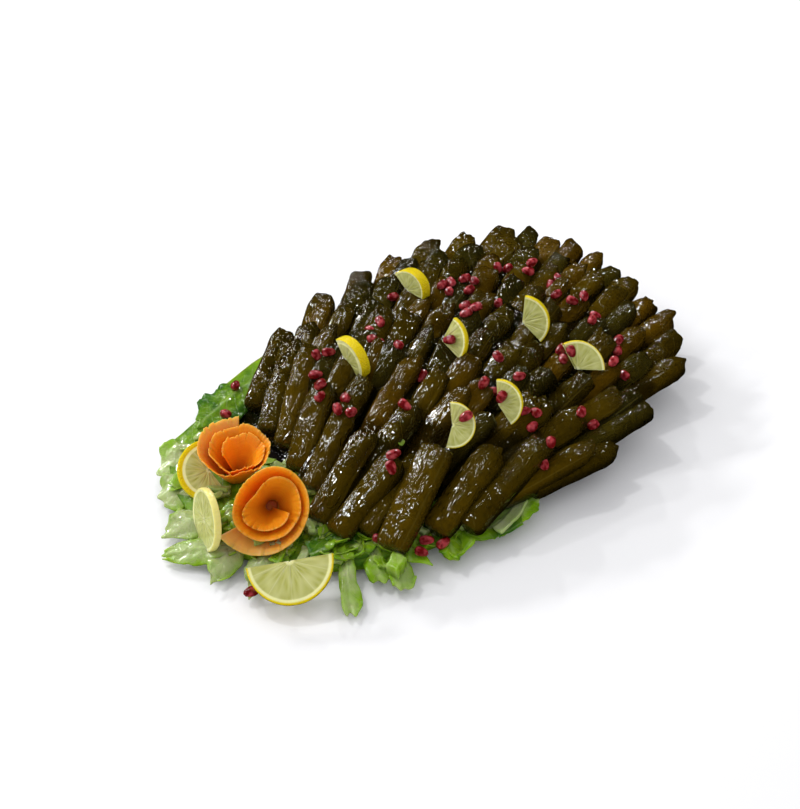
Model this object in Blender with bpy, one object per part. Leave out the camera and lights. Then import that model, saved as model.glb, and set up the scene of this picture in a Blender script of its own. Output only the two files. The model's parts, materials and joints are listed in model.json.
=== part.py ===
"""A serving of stuffed vine leaves fanned over an oval dish, with lettuce, lemon and two carrot roses.

Metres, +Z up. The fan's long axis is X: the roses are at its -X end and the rolls point to +X.
Sizes below are in millimetres and degrees, and MM turns them into metres.
"""

import math
import random
from collections import namedtuple

import bmesh
import bpy
from mathutils import Matrix, Vector

MM = 0.001
Roll = namedtuple("Roll", "start heading lean length width spin end corner")
GAP = 0.35  # air between two pieces that touch
FLAT_ANGLE = math.radians(0.5)  # faces that meet at less are joined
SHARP_ANGLE = math.radians(35)

# The dish: a low oval, turned a little against the fan.
DISH_CENTRE = (23, 5)
DISH_HALF = (181, 116)
DISH_TURN = -6
DISH_SQUARENESS = 2.3
DISH_HEIGHT = 7.2
WELL_HEIGHT = 4.2
RIM_WIDTH = 13
FOOT_INSET = 20
DISH_STEPS = 30

# The heap: a domed top over an oval plan, and a core that the rolls lie on. The dome's own peak and
# half-axes keep its slope gentle out to the tips.
HEAP_CENTRE = (78, -11)
HEAP_HALF = (155, 132)
DOME_CENTRE = (54, -11)
DOME_HALF = (197, 158)
EDGE_HEIGHT = 25
PEAK_HEIGHT = 62
CORE_INSET = 24
CORE_FOOT = 16
CORE_DEPTH = 15
CORE_FRONT = -80
CORE_STEPS = 28

# The rolls fan out from one point and overlap like shingles. Both edges of the heap are given as
# pairs of heading and reach from that point: the outermost tips, and the tips of the front row.
FAN_CENTRE = (-265, -50)
BACK_EDGE = (
    (-18, 306), (-16, 326), (-13, 382), (-10, 430), (-5, 460), (1, 484), (7, 503), (13, 498),
    (18, 455), (22, 418), (28, 355), (32, 300),
)
FRONT_EDGE = (
    (-18, 306), (-13, 292), (-9, 258), (-3, 232), (3, 212), (12, 222), (20, 238), (27, 276), (32, 290),
)
ROW_STEP = 31
PITCH = 20.6
ROLL_LENGTH = 78
ROLL_WIDTH = 19.5
ROLL_THICKNESS = 16.5
ROLL_SIDES = 6
ROLL_RINGS = ((0, 0.66), (0.08, 0.96), (0.87, 1.0))  # share of the length and of the full size
ROLL_CORNERS = (1.06, 1.12)  # how far the corners stand out past half the width and half the thickness
END_SLANT = 3.5
END_PEAK = 3  # how far one upper corner of a roll's end stands out
LEAN = 26
REST_HEIGHT = 8.5
LAYOUT_SEED = 7

# The front rolls, from the left edge round to the right flank: where each starts (x, y), its heading,
# lean, length, width and how large its end is.
FRONT_ROLLS = (
    ((-69, 76), 27, 9, 74, 17, 0.7),
    ((-80, 50), 31, 14, 78, 18, 0.75),
    ((-83, 30), 31, 19, 78, 18, 0.8),
    ((-93, 8), 25, 25, 62, 21, 0.85),
    ((-100, -11), 17, 24, 62, 19, 0.85),
    ((-118, -34), 11, 21, 70, 19, 0.8),
    ((-118, -52), 2, 20, 62, 20, 0.8),
    ((-105, -64), 8, 14, 60, 17, 0.8),
    ((-104, -86), 15, 23, 74, 24, 0.9),
    ((-74, -96), 4, 18, 66, 23, 0.85),
    ((-58, -110), 0, 15, 80, 20, 0.85),
    ((-4, -117), -17, 3, 66, 20, 0.9),
)

# The pomegranate seeds: where they lie in clusters (x, y, how many).
ARIL_LENGTH = 9.4
ARIL_RADII = (2.7, 4.1)
ARIL_SPREAD = 4.6
ARIL_CLUSTERS = (
    (95, 38, 3), (104, 28, 2), (118, 31, 1), (108, 2, 2), (76, 2, 3), (150, 30, 2), (160, 12, 2),
    (163, -8, 2), (148, -22, 1), (150, -40, 2), (142, -60, 2), (134, -88, 2), (92, -26, 1),
    (54, -43, 1), (12, 12, 1), (10, -12, 1), (88, -72, 2), (26, -57, 2), (46, -67, 1),
    (110, -105, 2), (25, 46, 2), (14, 35, 2), (-20, 55, 2), (67, 68, 1), (-38, 43, 2),
    (-50, 27, 2), (-43, 10, 1), (-53, 2, 2), (-27, -29, 1), (-66, -53, 2), (26, -93, 3),
    (57, -117, 2), (12, -118, 2),
)
BED_ARILS = (
    (-60, 104), (-84, 88), (-96, 76), (-103, -75), (-78, -96), (-70, -104), (-86, -104), (-180, -38),
)
LEMON_ARILS = (  # the lemon piece, how far out from its core, and how far across
    ("lemon_middle", 7.5, 0),
    ("lemon_front", 8, 6),
    ("lemon_far_right", 8, 10.5),
    ("lemon_front_right", 4.5, 4),
)

# The lemon pieces: name, middle of the showing part in plan, its height (over the rolls on the heap),
# the way the flesh faces, its rise over the horizon, the turn of the rind from upright, radius,
# sweep of the sector and thickness.
LEMON_STEPS = 10  # half a turn
HEAP_LEMONS = (
    ("lemon_back", (78, 56), 2, 184, 12, 20, 15, 150, 10),
    ("lemon_left", (-14, 29), 1, 174, 2, 36, 17.5, 150, 8),
    ("lemon_middle", (39, -16), 2, 184, 28, 60, 19, 100, 5),
    ("lemon_right", (97, -41), 3, 205, 25, 62, 19, 130, 6),
    ("lemon_far_right", (92, -87), 2, 235, 40, 40, 20, 120, 5),
    ("lemon_front_right", (21, -79), 2, 205, 30, 62, 16.5, 150, 5),
    ("lemon_front", (-17, -71), 1, 225, 45, 97, 15.2, 200, 5),
)
BED_LEMONS = (
    ("lemon_half", (-165, -61), 18, 222, 58, 170, 27, 180, 6),
    ("lemon_standing", (-165.5, 12.5), 34, 157, 13, 0, 20.5, 360, 5),
    ("lemon_behind_rose", (-145, 51), 20, 240, 52, -105, 21, 200, 7),
)

# The carrot roses: name, middle of the foot, tilt towards -X -Y, radius, how far the peel flares where it
# ends, turns of peel, reach of the innermost turn, the way the peel ends in the rose's own plan, how far
# its heart leans to +Y, and how much the heart is pressed in, on which side. The foot is a share of the
# mouth.
FLARE_FROM = 0.86
ROSE_HEIGHT = 28
ROSE_FOOT = 0.38
ROSE_FACING = 222
ROSE_STEPS = 12  # a turn
ROOM_STEPS = 16
PEEL_THICKNESS = 1.3
PEEL_ROUGHNESS = 1.6
ROSES = (
    ("carrot_rose_left", (-119, 38.5, 12.5), 6, 25, 2, 2.3, 11.5, 178, 4.5, 0, 0),
    ("carrot_rose_right", (-128, -3, 17), 42, 28, 7, 2.35, 14, 304, 0, 0.65, 225),
)

# The lettuce: a ridge along the dish's rim and a mound under the roses carry leaves and shreds. The
# ridge has its first step, the first that spills over the rim, and its last. A leaf is its stem's place,
# heading, rise, length, width, how far its end droops, how deep it waves, and how far it narrows at its
# end: 0.4 is blunt and 0.9 pointed.
RIDGE_STEPS = (8, 12, 23)
RIDGE_SPILL = 9
RIM_SHOWS = 4
RIDGE_TOP = 13
RIDGE_LUMPS = 1.2
RIDGE_WIDTH = 28
MOUND_CENTRE = (-121, 8)
MOUND_HALF = (35, 60)
MOUND_LEVELS = ((1, WELL_HEIGHT + 0.4), (6, 10.4), (14, 13))  # inset and height
MOUND_STEPS = 12
LEAF_THICKNESS = 1.8
NARROW_LEAF = 18
LEAVES = (
    ((-38, 105, 10), 189, 5, 68, 34, 2, 3, 0.8),
    ((-112, 68, 11), 155, 6, 40, 38, 6, 4, 0.7),
    ((-140, 52, 11), 150, 3, 28, 30, 5, 3, 0.65),
    ((-152, 26, 11), 158, 2, 34, 23, 6, 3, 0.75),
    ((-163, -8, 10), 134, 0, 48, 20, 5, 3, 0.83),
    ((-160, -4, 10), 200, 2, 34, 20, 6, 3, 0.88),
    ((-150, -24, 11), 205, 0, 36, 18, 6, 3, 0.88),
    ((-134, -36, 11), 312, 10, 30, 20, -2, 3, 0.6),
    ((-128, -62, 10), 342, 10, 30, 16, 2, 2, 0.6),
    ((-124, -66, 10), 229, 2, 42, 13, 6, 2, 0.45),
    ((-108, -72, 10), 240, 6, 26, 16, 5, 2, 0.5),
    ((-98, -84, 9), 235, 6, 30, 17, 5, 2, 0.5),
    ((-66, -98, 9), 240, 10, 22, 16, 4, 2, 0.6),
    ((-60, -106, 9), 333, 3, 36, 16, 3, 2, 0.6),
    ((-46, -116, 9), 352, 5, 45, 22, 0, 2, 0.55),
)
SHRED_SEED = 3
SHRED_COUNT = 7
SHRED_INSET = (-5, 14)


def material(name, colour, roughness):
    made = bpy.data.materials.new(name)
    made.use_nodes = True
    shader = made.node_tree.nodes["Principled BSDF"]
    shader.inputs["Base Color"].default_value = (*colour, 1)
    shader.inputs["Roughness"].default_value = roughness
    return made


def solid(name, mesh, collection, frame=None, made_of=None):
    """An object in the collection that holds this bmesh, with its faces turned outwards."""
    bmesh.ops.recalc_face_normals(mesh, faces=mesh.faces)
    data = bpy.data.meshes.new(name)
    mesh.to_mesh(data)
    mesh.free()
    made = bpy.data.objects.new(name, data)
    collection.objects.link(made)
    if collection.hide_render:
        made.display_type = "WIRE"
    if made_of:
        data.materials.append(made_of)
    if frame:
        data.transform(frame)
    return made


def loft(rings, sheet=False):
    """A closed bmesh through rings of points in millimetres. A sheet's ring goes out on one face and
    back on the other, and both faces are split into triangles alike."""
    mesh = bmesh.new()
    rows = [[mesh.verts.new(Vector(point) * MM) for point in ring] for ring in rings]
    count = len(rows[0])
    for low, high in zip(rows, rows[1:]):
        for k in range(count):
            n = (k + 1) % count
            if sheet and k >= count // 2:
                mesh.faces.new((low[k], low[n], high[k]))
                mesh.faces.new((low[n], high[n], high[k]))
            else:
                mesh.faces.new((low[k], low[n], high[n]))
                mesh.faces.new((low[k], high[n], high[k]))
    for row in (rows[0], rows[-1]):
        if sheet:
            for k in range(count // 2 - 1):
                mesh.faces.new((row[k], row[k + 1], row[count - 2 - k], row[count - 1 - k]))
        else:
            mesh.faces.new(row)
    return mesh


def combine(body, collection, operation):
    """Joins the collection's solids to the body, or cuts them out of it, and then removes them."""
    change = body.modifiers.new(operation.title(), "BOOLEAN")
    change.operation = operation
    change.operand_type = "COLLECTION"
    change.collection = collection
    change.solver = "MANIFOLD"
    bpy.context.view_layer.objects.active = body
    bpy.ops.object.modifier_apply(modifier=change.name)
    for piece in list(collection.objects):
        bpy.data.objects.remove(piece)
    for face in body.data.polygons:
        face.material_index = 0
    while len(body.data.materials) > 1:
        body.data.materials.pop()


def clean_up(body):
    """Drops the loose scraps that cutting leaves and the inner walls of sealed hollows, and joins the
    triangles that lie in one plane."""
    mesh = bmesh.new()
    mesh.from_mesh(body.data)
    left = set(mesh.verts)
    pieces = []
    while left:
        piece = {left.pop()}
        reached = list(piece)
        while reached:
            vertex = reached.pop()
            for link in vertex.link_edges:
                other = link.other_vert(vertex)
                if other not in piece:
                    piece.add(other)
                    reached.append(other)
        left -= piece
        pieces.append(piece)
    pieces.sort(key=len)
    scraps = [vertex for piece in pieces[:-1] for vertex in piece]
    bmesh.ops.delete(mesh, geom=scraps, context="VERTS")
    bmesh.ops.dissolve_limit(mesh, angle_limit=FLAT_ANGLE, verts=mesh.verts, edges=mesh.edges)
    bmesh.ops.triangulate(mesh, faces=mesh.faces)
    mesh.to_mesh(body.data)
    mesh.free()


def oval(centre, half, z, inset=0, squareness=2, turn=0, steps=CORE_STEPS):
    """A ring of points on a superellipse, in millimetres."""
    ring = []
    for step in range(steps):
        angle = 2 * math.pi * step / steps
        along, across = math.cos(angle), math.sin(angle)
        x = (half[0] - inset) * math.copysign(abs(along) ** (2 / squareness), along)
        y = (half[1] - inset) * math.copysign(abs(across) ** (2 / squareness), across)
        spot = Matrix.Rotation(math.radians(turn), 2) @ Vector((x, y))
        ring.append((centre[0] + spot.x, centre[1] + spot.y, z))
    return ring


def dish_ring(inset, z, steps=DISH_STEPS):
    return oval(DISH_CENTRE, DISH_HALF, z, inset, DISH_SQUARENESS, DISH_TURN, steps)


def dish_mesh(grow=0):
    """A flat foot, a wall that flares out to a rounded rim, and a shallow well."""
    levels = (
        (FOOT_INSET, -grow),
        (3 - grow, WELL_HEIGHT - grow),
        (-grow, DISH_HEIGHT - 1.2),
        (1.2 - grow, DISH_HEIGHT + grow),
        (3.2, DISH_HEIGHT - 0.4 + grow),
        (RIM_WIDTH, WELL_HEIGHT + grow),
    )
    return loft([dish_ring(inset, z) for inset, z in levels])


def reach_of(edge, heading):
    """How far this edge of the heap lies from the fan's centre, under a heading in degrees."""
    for (low, near), (high, far) in zip(edge, edge[1:]):
        if low <= heading <= high:
            return near + (far - near) * (heading - low) / (high - low)
    return 0


def heap_top(x, y):
    """The height of the rolls' upper side."""
    u = (x - DOME_CENTRE[0]) / DOME_HALF[0]
    v = (y - DOME_CENTRE[1]) / DOME_HALF[1]
    rise = max(0, 1 - u * u) * max(0, 1 - v * v)
    return EDGE_HEIGHT + (PEAK_HEIGHT - EDGE_HEIGHT) * rise


def roll_layout():
    """First the front rolls, then the rows behind them, which follow the back edge."""
    draw = random.Random(LAYOUT_SEED)
    lowest = REST_HEIGHT + ROLL_THICKNESS / 2
    rolls = []
    for (x, y), heading, lean, length, width, end in FRONT_ROLLS:
        spin = draw.uniform(-0.25, 0.25)
        start = Vector((x, y, lowest))
        corner = 1 + len(rolls) % 2
        rolls.append(Roll(start, math.radians(heading), math.radians(lean), length, width, spin, end, corner))
    rows = round((max(reach for _, reach in BACK_EDGE) - min(reach for _, reach in FRONT_EDGE)) / ROW_STEP)
    for row in reversed(range(rows)):
        angle = BACK_EDGE[0][0] + draw.uniform(1, 3)
        while angle < BACK_EDGE[-1][0]:
            back = reach_of(BACK_EDGE, angle)
            front = reach_of(FRONT_EDGE, angle)
            here = round((back - front) / ROW_STEP)
            reach = back - row * (back - front) / max(here, 1)
            way = math.radians(angle + draw.uniform(-0.4, 0.4))
            heading = way + math.radians(draw.uniform(-6, 6))
            length = ROLL_LENGTH * draw.uniform(0.92, 1.08)
            width = ROLL_WIDTH * draw.uniform(0.88, 1.12)
            spin = draw.uniform(-0.35, 0.35)
            end = draw.uniform(0.6, 0.92)
            reach += draw.uniform(-6, 6) if row else draw.uniform(-4, 1)
            angle += math.degrees(PITCH / reach)
            if row >= here:
                continue
            x = FAN_CENTRE[0] + reach * math.cos(way)
            y = FAN_CENTRE[1] + reach * math.sin(way)
            high = max(heap_top(x, y) - ROLL_THICKNESS / 2, lowest)
            low = max(high - length * math.sin(math.radians(LEAN)), lowest)
            lean = math.asin((high - low) / length)
            run = Vector((math.cos(heading), math.sin(heading), 0)) * length * math.cos(lean)
            corner = 1 + len(rolls) % 2
            rolls.append(Roll(Vector((x, y, low)) - run, heading, lean, length, width, spin, end, corner))
    return rolls


def roll_frame(roll):
    """The matrix that takes a roll lying along +X from the origin to its place, in metres."""
    turn = Matrix.Rotation(roll.heading, 4, "Z") @ Matrix.Rotation(-roll.lean, 4, "Y")
    return Matrix.Translation(roll.start * MM) @ turn @ Matrix.Rotation(roll.spin, 4, "X")


def roll_mesh(roll, grow=0):
    """One rolled leaf along +X: a blunt start, an even body and a folded end that is cut on a slant."""
    rings = []
    for share, size in (*ROLL_RINGS, (1, roll.end)):
        x = share * roll.length + (share > 0.5) * grow - (share < 0.5) * grow
        ring = []
        for k in range(ROLL_SIDES):
            angle = 2 * math.pi * k / ROLL_SIDES
            y = (roll.width / 2 * size + grow) * math.cos(angle) * ROLL_CORNERS[0]
            z = (ROLL_THICKNESS / 2 * size + grow) * math.sin(angle) * ROLL_CORNERS[1]
            peak = END_PEAK * (k == roll.corner)
            ring.append((x + (END_SLANT * math.sin(angle) + peak) * (share == 1), y, z))
        rings.append(ring)
    return loft(rings)


def core_mesh(grow=0):
    """The heap's middle: it fills the dish's well and carries the rolls."""
    rings = [
        dish_ring(RIM_WIDTH + CORE_FOOT + 2 - grow, WELL_HEIGHT + GAP - grow, CORE_STEPS),
        dish_ring(RIM_WIDTH + CORE_FOOT - grow, REST_HEIGHT, CORE_STEPS),
    ]
    rings = [[(max(x, CORE_FRONT - grow), y, z) for x, y, z in ring] for ring in rings]
    for share in (1.0, 0.8, 0.55, 0.3, 0.08):
        ring = []
        for x, y, _ in oval(HEAP_CENTRE, HEAP_HALF, 0, CORE_INSET - grow):
            x = max(HEAP_CENTRE[0] + (x - HEAP_CENTRE[0]) * share, CORE_FRONT - grow)
            y = HEAP_CENTRE[1] + (y - HEAP_CENTRE[1]) * share
            drop = CORE_DEPTH if share < 1 else EDGE_HEIGHT
            ring.append((x, y, max(heap_top(x, y) - drop, REST_HEIGHT + 1) + grow))
        rings.append(ring)
    return loft(rings)


def aril_mesh():
    """One seed, lying along X: a short cone with five sides."""
    mesh = bmesh.new()
    thin, thick = ARIL_RADII
    lie = Matrix.Rotation(math.pi / 2, 4, "Y")
    bmesh.ops.create_cone(
        mesh, segments=5, radius1=thin * MM, radius2=thick * MM, depth=ARIL_LENGTH * MM, cap_ends=True, matrix=lie
    )
    return mesh


def drop_arils(spots, body, collection, draw):
    """Lays a seed on the body under each of the spots, a little sunk so that it fuses."""
    for x, y in spots:
        hit, place, normal, _ = body.ray_cast(Vector((x, y, 200)) * MM, Vector((0, 0, -1)))
        if not hit:
            continue
        lie = normal.to_track_quat("Z", "Y").to_matrix().to_4x4()
        turn = Matrix.Rotation(draw.uniform(0, 2 * math.pi), 4, "Z")
        lift = Matrix.Translation((0, 0, ARIL_RADII[0] * 0.8 * MM))
        solid("aril", aril_mesh(), collection, Matrix.Translation(place) @ lie @ lift @ turn)


def aril_frame(out, across, thickness):
    """The place of a seed that sticks to a lemon piece's flesh, in the piece's own plan."""
    turn = Matrix.Rotation(math.atan2(across, out), 4, "Z")
    return Matrix.Translation(Vector((out, across, thickness / 2 + ARIL_RADII[0] * 0.8)) * MM) @ turn


def aril_spots(draw):
    spots = []
    for x, y, count in ARIL_CLUSTERS:
        start = draw.uniform(0, 2 * math.pi)
        for k in range(count):
            angle = start + 2 * math.pi * k / count
            reach = ARIL_SPREAD * (count > 1)
            spots.append((x + reach * math.cos(angle), y + reach * math.sin(angle)))
    return spots


def lemon_mesh(radius, sweep, thickness, grow=0):
    """A piece of a lemon slice: a sector in its own XY plane, symmetrical about +X, or the whole slice."""
    half = math.radians(sweep) / 2
    whole = sweep == 360
    steps = 2 * LEMON_STEPS - 1 if whole else LEMON_STEPS
    corner = -grow / math.sin(half) if sweep < 180 else -grow
    rings = []
    for z in (-thickness / 2 - grow, thickness / 2 + grow):
        ring = [] if whole else [(corner, 0, z)]
        for k in range(steps + 1):
            angle = -half + 2 * half * k / (steps + whole)
            across = (radius + grow) * math.sin(angle)
            cut = grow * (k in (0, steps) and not whole)
            ring.append(((radius + grow) * math.cos(angle) - cut, across, z))
        rings.append(ring)
    return loft(rings)


def lemon_frame(centre, facing, rise, turn, radius):
    """Stands a lemon piece so that its flesh faces this way in plan and this far above the horizon.
    Turn is the angle of its rind's middle from upright."""
    facing, rise, turn = math.radians(facing), math.radians(rise), math.radians(turn)
    flat = math.cos(rise)
    normal = Vector((math.cos(facing) * flat, math.sin(facing) * flat, math.sin(rise)))
    side = Vector((0, 0, 1)).cross(normal).normalized()
    up = normal.cross(side)
    out = up * math.cos(turn) + side * math.sin(turn)
    axes = Matrix((out, normal.cross(out), normal)).transposed().to_4x4()
    return Matrix.Translation((Vector(centre) - out * radius / 2) * MM) @ axes


def rose_mesh(size, flare, turns, heart, finish, lean, press, press_way):
    """A peel wound into a cup: one strip whose upper edge flares outwards and waves."""
    steps = round(turns * ROSE_STEPS)
    rings = []
    for k in range(steps + 1):
        share = k / steps
        angle = math.radians(finish) + 2 * math.pi * turns * (1 - share)
        foot = ROSE_FOOT * size * (0.12 + 0.88 * share)
        reach = heart + (size - heart) * share**0.8 + flare * max(0, share - FLARE_FROM) / (1 - FLARE_FROM)
        reach *= 1 - press * (1 - share) * max(0, math.cos(angle - math.radians(press_way))) ** 2
        outer = []
        inner = []
        for level in (0, 0.5, 1):
            radius = foot + (reach - foot) * level
            y = lean * (1 - share) * level
            z = ROSE_HEIGHT * level * (0.86 + 0.14 * share) + PEEL_ROUGHNESS * math.sin(5 * angle) * level
            half = PEEL_THICKNESS / 2
            outer.append(((radius + half) * math.cos(angle), y + (radius + half) * math.sin(angle), z))
            inner.append(((radius - half) * math.cos(angle), y + (radius - half) * math.sin(angle), z))
        rings.append(outer + inner[::-1])
    return loft(rings, sheet=True)


def rose_frame(foot, tilt):
    """Stands a rose on its foot, tilted over towards ROSE_FACING."""
    facing = Matrix.Rotation(math.radians(ROSE_FACING), 4, "Z")
    return Matrix.Translation(Vector(foot) * MM) @ facing @ Matrix.Rotation(math.radians(tilt), 4, "Y")


def rose_room(size, flare, grow):
    """The solid cup that a rose fills, a little larger than the rose."""
    rings = []
    for level, height in ((0, -grow), (1, 0.8 * ROSE_HEIGHT), (1, ROSE_HEIGHT + PEEL_ROUGHNESS + grow)):
        radius = (size + flare) * (ROSE_FOOT + (1 - ROSE_FOOT) * level) + PEEL_THICKNESS / 2 + grow
        radius /= math.cos(math.pi / ROOM_STEPS)
        rings.append(oval((0, 0), (radius, radius), height, steps=ROOM_STEPS))
    return loft(rings)


def leaf_mesh(length, width, droop, wave, narrow, rows=4, columns=2):
    """A thin wavy leaf along +X, narrow at its stem and rounded at its end."""
    rings = []
    for k in range(rows + 1):
        share = k / rows
        x = length * share
        half = width / 2 * (0.25 + 0.75 * math.sin(math.pi * (0.12 + share * narrow)) ** 0.7)
        top = []
        for j in range(columns + 1):
            across = -1 + 2 * j / columns
            ripple = wave * math.sin(2.5 * across + 4.2 * share) * (0.3 + 0.7 * across * across)
            z = ripple - droop * share * share
            top.append((x, half * across, z + LEAF_THICKNESS / 2))
        bottom = [(px, py, pz - LEAF_THICKNESS) for px, py, pz in reversed(top)]
        rings.append(top + bottom)
    return loft(rings, sheet=True)


def leaf_frame(stem, heading, rise):
    turn = Matrix.Rotation(math.radians(heading), 4, "Z") @ Matrix.Rotation(math.radians(-rise), 4, "Y")
    return Matrix.Translation(Vector(stem) * MM) @ turn


def ridge_mesh(draw):
    """The salad that follows the dish's rim: its underside fits over the rim."""
    clear = GAP + 0.05
    first, spill, last = RIDGE_STEPS
    sections = []
    for step in range(first, last + 1):
        swell = math.sin(math.pi * (step - first + 0.6) / (last - first + 1.2)) ** 0.5
        top = DISH_HEIGHT + 1.6 + (RIDGE_TOP - DISH_HEIGHT - 1.6) * swell
        edge = -RIDGE_SPILL * swell if step >= spill else RIM_SHOWS
        profile = (
            (edge, WELL_HEIGHT if step >= spill else DISH_HEIGHT + clear),
            (max(-1.4, edge + 0.4), DISH_HEIGHT + clear),
            (max(3.2, edge + 0.8), DISH_HEIGHT + clear),
            (RIM_WIDTH + 1, WELL_HEIGHT + clear),
            (RIDGE_WIDTH, WELL_HEIGHT + clear),
            (RIDGE_WIDTH - 1, top - 1.5 + draw.uniform(-1, 1) * RIDGE_LUMPS),
            (8, top + draw.uniform(-1, 1) * RIDGE_LUMPS),
            (edge + 1.5, DISH_HEIGHT + (top - DISH_HEIGHT) * 0.6),
        )
        sections.append([dish_ring(inset, z)[step] for inset, z in profile])
    return loft(sections)


def mound_mesh():
    return loft([oval(MOUND_CENTRE, MOUND_HALF, z, inset, steps=MOUND_STEPS) for inset, z in MOUND_LEVELS])


def make_lettuce(collection, cutters, rolls, leaf_green):
    """The ridge and the mound, their leaves and shreds, cut clear of everything that lies in them."""
    draw = random.Random(SHRED_SEED)
    lettuce = solid("lettuce", ridge_mesh(draw), collection, made_of=leaf_green)
    solid("mound", mound_mesh(), cutters)
    for stem, heading, rise, length, width, droop, wave, narrow in LEAVES:
        frame = leaf_frame(stem, heading, rise)
        halves = 2 if width > NARROW_LEAF else 1
        solid("leaf", leaf_mesh(length, width, droop, wave, narrow, 3, halves), cutters, frame)
    first, _, last = RIDGE_STEPS
    for k in range(SHRED_COUNT):
        step = first + 1 + round((last - first - 2) * (k + draw.random()) / SHRED_COUNT)
        place = dish_ring(draw.uniform(*SHRED_INSET), RIDGE_TOP - 3)[step]
        frame = leaf_frame(place, draw.uniform(0, 360), draw.uniform(-5, 12))
        mesh = leaf_mesh(draw.uniform(16, 26), draw.uniform(7, 11), 2, 1.5, 0.7, 2, 1)
        solid("shred", mesh, cutters, frame)
    combine(lettuce, cutters, "UNION")
    drop_arils(BED_ARILS, lettuce, cutters, draw)
    combine(lettuce, cutters, "UNION")
    solid("room", dish_mesh(GAP), cutters)
    solid("room", core_mesh(GAP), cutters)
    for roll in rolls:
        solid("room", roll_mesh(roll, GAP), cutters, roll_frame(roll))
    for _, foot, tilt, size, flare, *_ in ROSES:
        solid("room", rose_room(size, flare, GAP), cutters, rose_frame(foot, tilt))
    for _, place, height, facing, rise, turn, radius, sweep, thickness in BED_LEMONS:
        frame = lemon_frame((*place, height), facing, rise, turn, radius)
        solid("room", lemon_mesh(radius, sweep, thickness, GAP), cutters, frame)
    combine(lettuce, cutters, "DIFFERENCE")
    clean_up(lettuce)
    return lettuce


def make_heap(collection, cutters, rolls, vine_green):
    """The core with the rolls and the seeds fused on, cut clear of the lemons and the roses."""
    heap = solid("dolma_heap", core_mesh(), collection, made_of=vine_green)
    for roll in rolls:
        solid("roll", roll_mesh(roll), cutters, roll_frame(roll))
    combine(heap, cutters, "UNION")
    draw = random.Random(LAYOUT_SEED)
    drop_arils(aril_spots(draw), heap, cutters, draw)
    combine(heap, cutters, "UNION")
    for _, place, lift, facing, rise, turn, radius, sweep, thickness in HEAP_LEMONS:
        frame = lemon_frame((*place, heap_top(*place) + lift), facing, rise, turn, radius)
        solid("room", lemon_mesh(radius, sweep, thickness, GAP), cutters, frame)
    for _, foot, tilt, size, flare, *_ in ROSES:
        solid("room", rose_room(size, flare, GAP), cutters, rose_frame(foot, tilt))
    solid("room", dish_mesh(GAP), cutters)
    combine(heap, cutters, "DIFFERENCE")
    clean_up(heap)
    return heap


def make_lemons(collection, cutters, lemon_yellow):
    for name, place, lift, facing, rise, turn, radius, sweep, thickness in HEAP_LEMONS:
        frame = lemon_frame((*place, heap_top(*place) + lift), facing, rise, turn, radius)
        piece = solid(name, lemon_mesh(radius, sweep, thickness), collection, frame, lemon_yellow)
        for under, out, across in LEMON_ARILS:
            if under == name:
                solid("aril", aril_mesh(), cutters, frame @ aril_frame(out, across, thickness))
                combine(piece, cutters, "UNION")
    for name, place, height, facing, rise, turn, radius, sweep, thickness in BED_LEMONS:
        frame = lemon_frame((*place, height), facing, rise, turn, radius)
        piece = solid(name, lemon_mesh(radius, sweep, thickness), collection, frame, lemon_yellow)
        for _, foot, tilt, size, flare, *_ in ROSES:
            solid("room", rose_room(size, flare, GAP), cutters, rose_frame(foot, tilt))
        solid("room", dish_mesh(GAP), cutters)
        combine(piece, cutters, "DIFFERENCE")
        clean_up(piece)


def centre_on_floor(collection):
    """Moves the whole serving so that its box stands centred on the origin."""
    corners = [vertex.co for piece in collection.objects for vertex in piece.data.vertices]
    low = Vector([min(corner[axis] for corner in corners) for axis in range(3)])
    high = Vector([max(corner[axis] for corner in corners) for axis in range(3)])
    shift = Matrix.Translation((-(low.x + high.x) / 2, -(low.y + high.y) / 2, -low.z))
    for piece in collection.objects:
        piece.data.transform(shift)


def main():
    for old in list(bpy.data.objects):
        bpy.data.objects.remove(old)
    serving = bpy.data.collections.new("dolma_serving")
    cutters = bpy.data.collections.new("pieces_to_join")
    cutters.hide_render = True
    bpy.context.scene.collection.children.link(serving)
    bpy.context.scene.collection.children.link(cutters)
    rolls = roll_layout()
    solid("dish", dish_mesh(), serving, made_of=material("black glaze", (0.01, 0.01, 0.012), 0.15))
    make_heap(serving, cutters, rolls, material("cooked vine leaf", (0.05, 0.04, 0.01), 0.25))
    make_lettuce(serving, cutters, rolls, material("lettuce", (0.22, 0.42, 0.06), 0.4))
    make_lemons(serving, cutters, material("lemon", (0.75, 0.62, 0.08), 0.35))
    carrot = material("carrot peel", (0.80, 0.20, 0.02), 0.4)
    for name, foot, tilt, *winding in ROSES:
        solid(name, rose_mesh(*winding), serving, rose_frame(foot, tilt), carrot)
    centre_on_floor(serving)
    for piece in serving.objects:
        piece.data.shade_smooth()
        piece.data.set_sharp_from_angle(angle=SHARP_ANGLE)
    bpy.data.collections.remove(cutters)


main()
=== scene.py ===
import json
import math
import random
from collections import namedtuple

import bpy
import numpy as np
from mathutils import Matrix, Vector, noise
from mathutils.bvhtree import BVHTree

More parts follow.
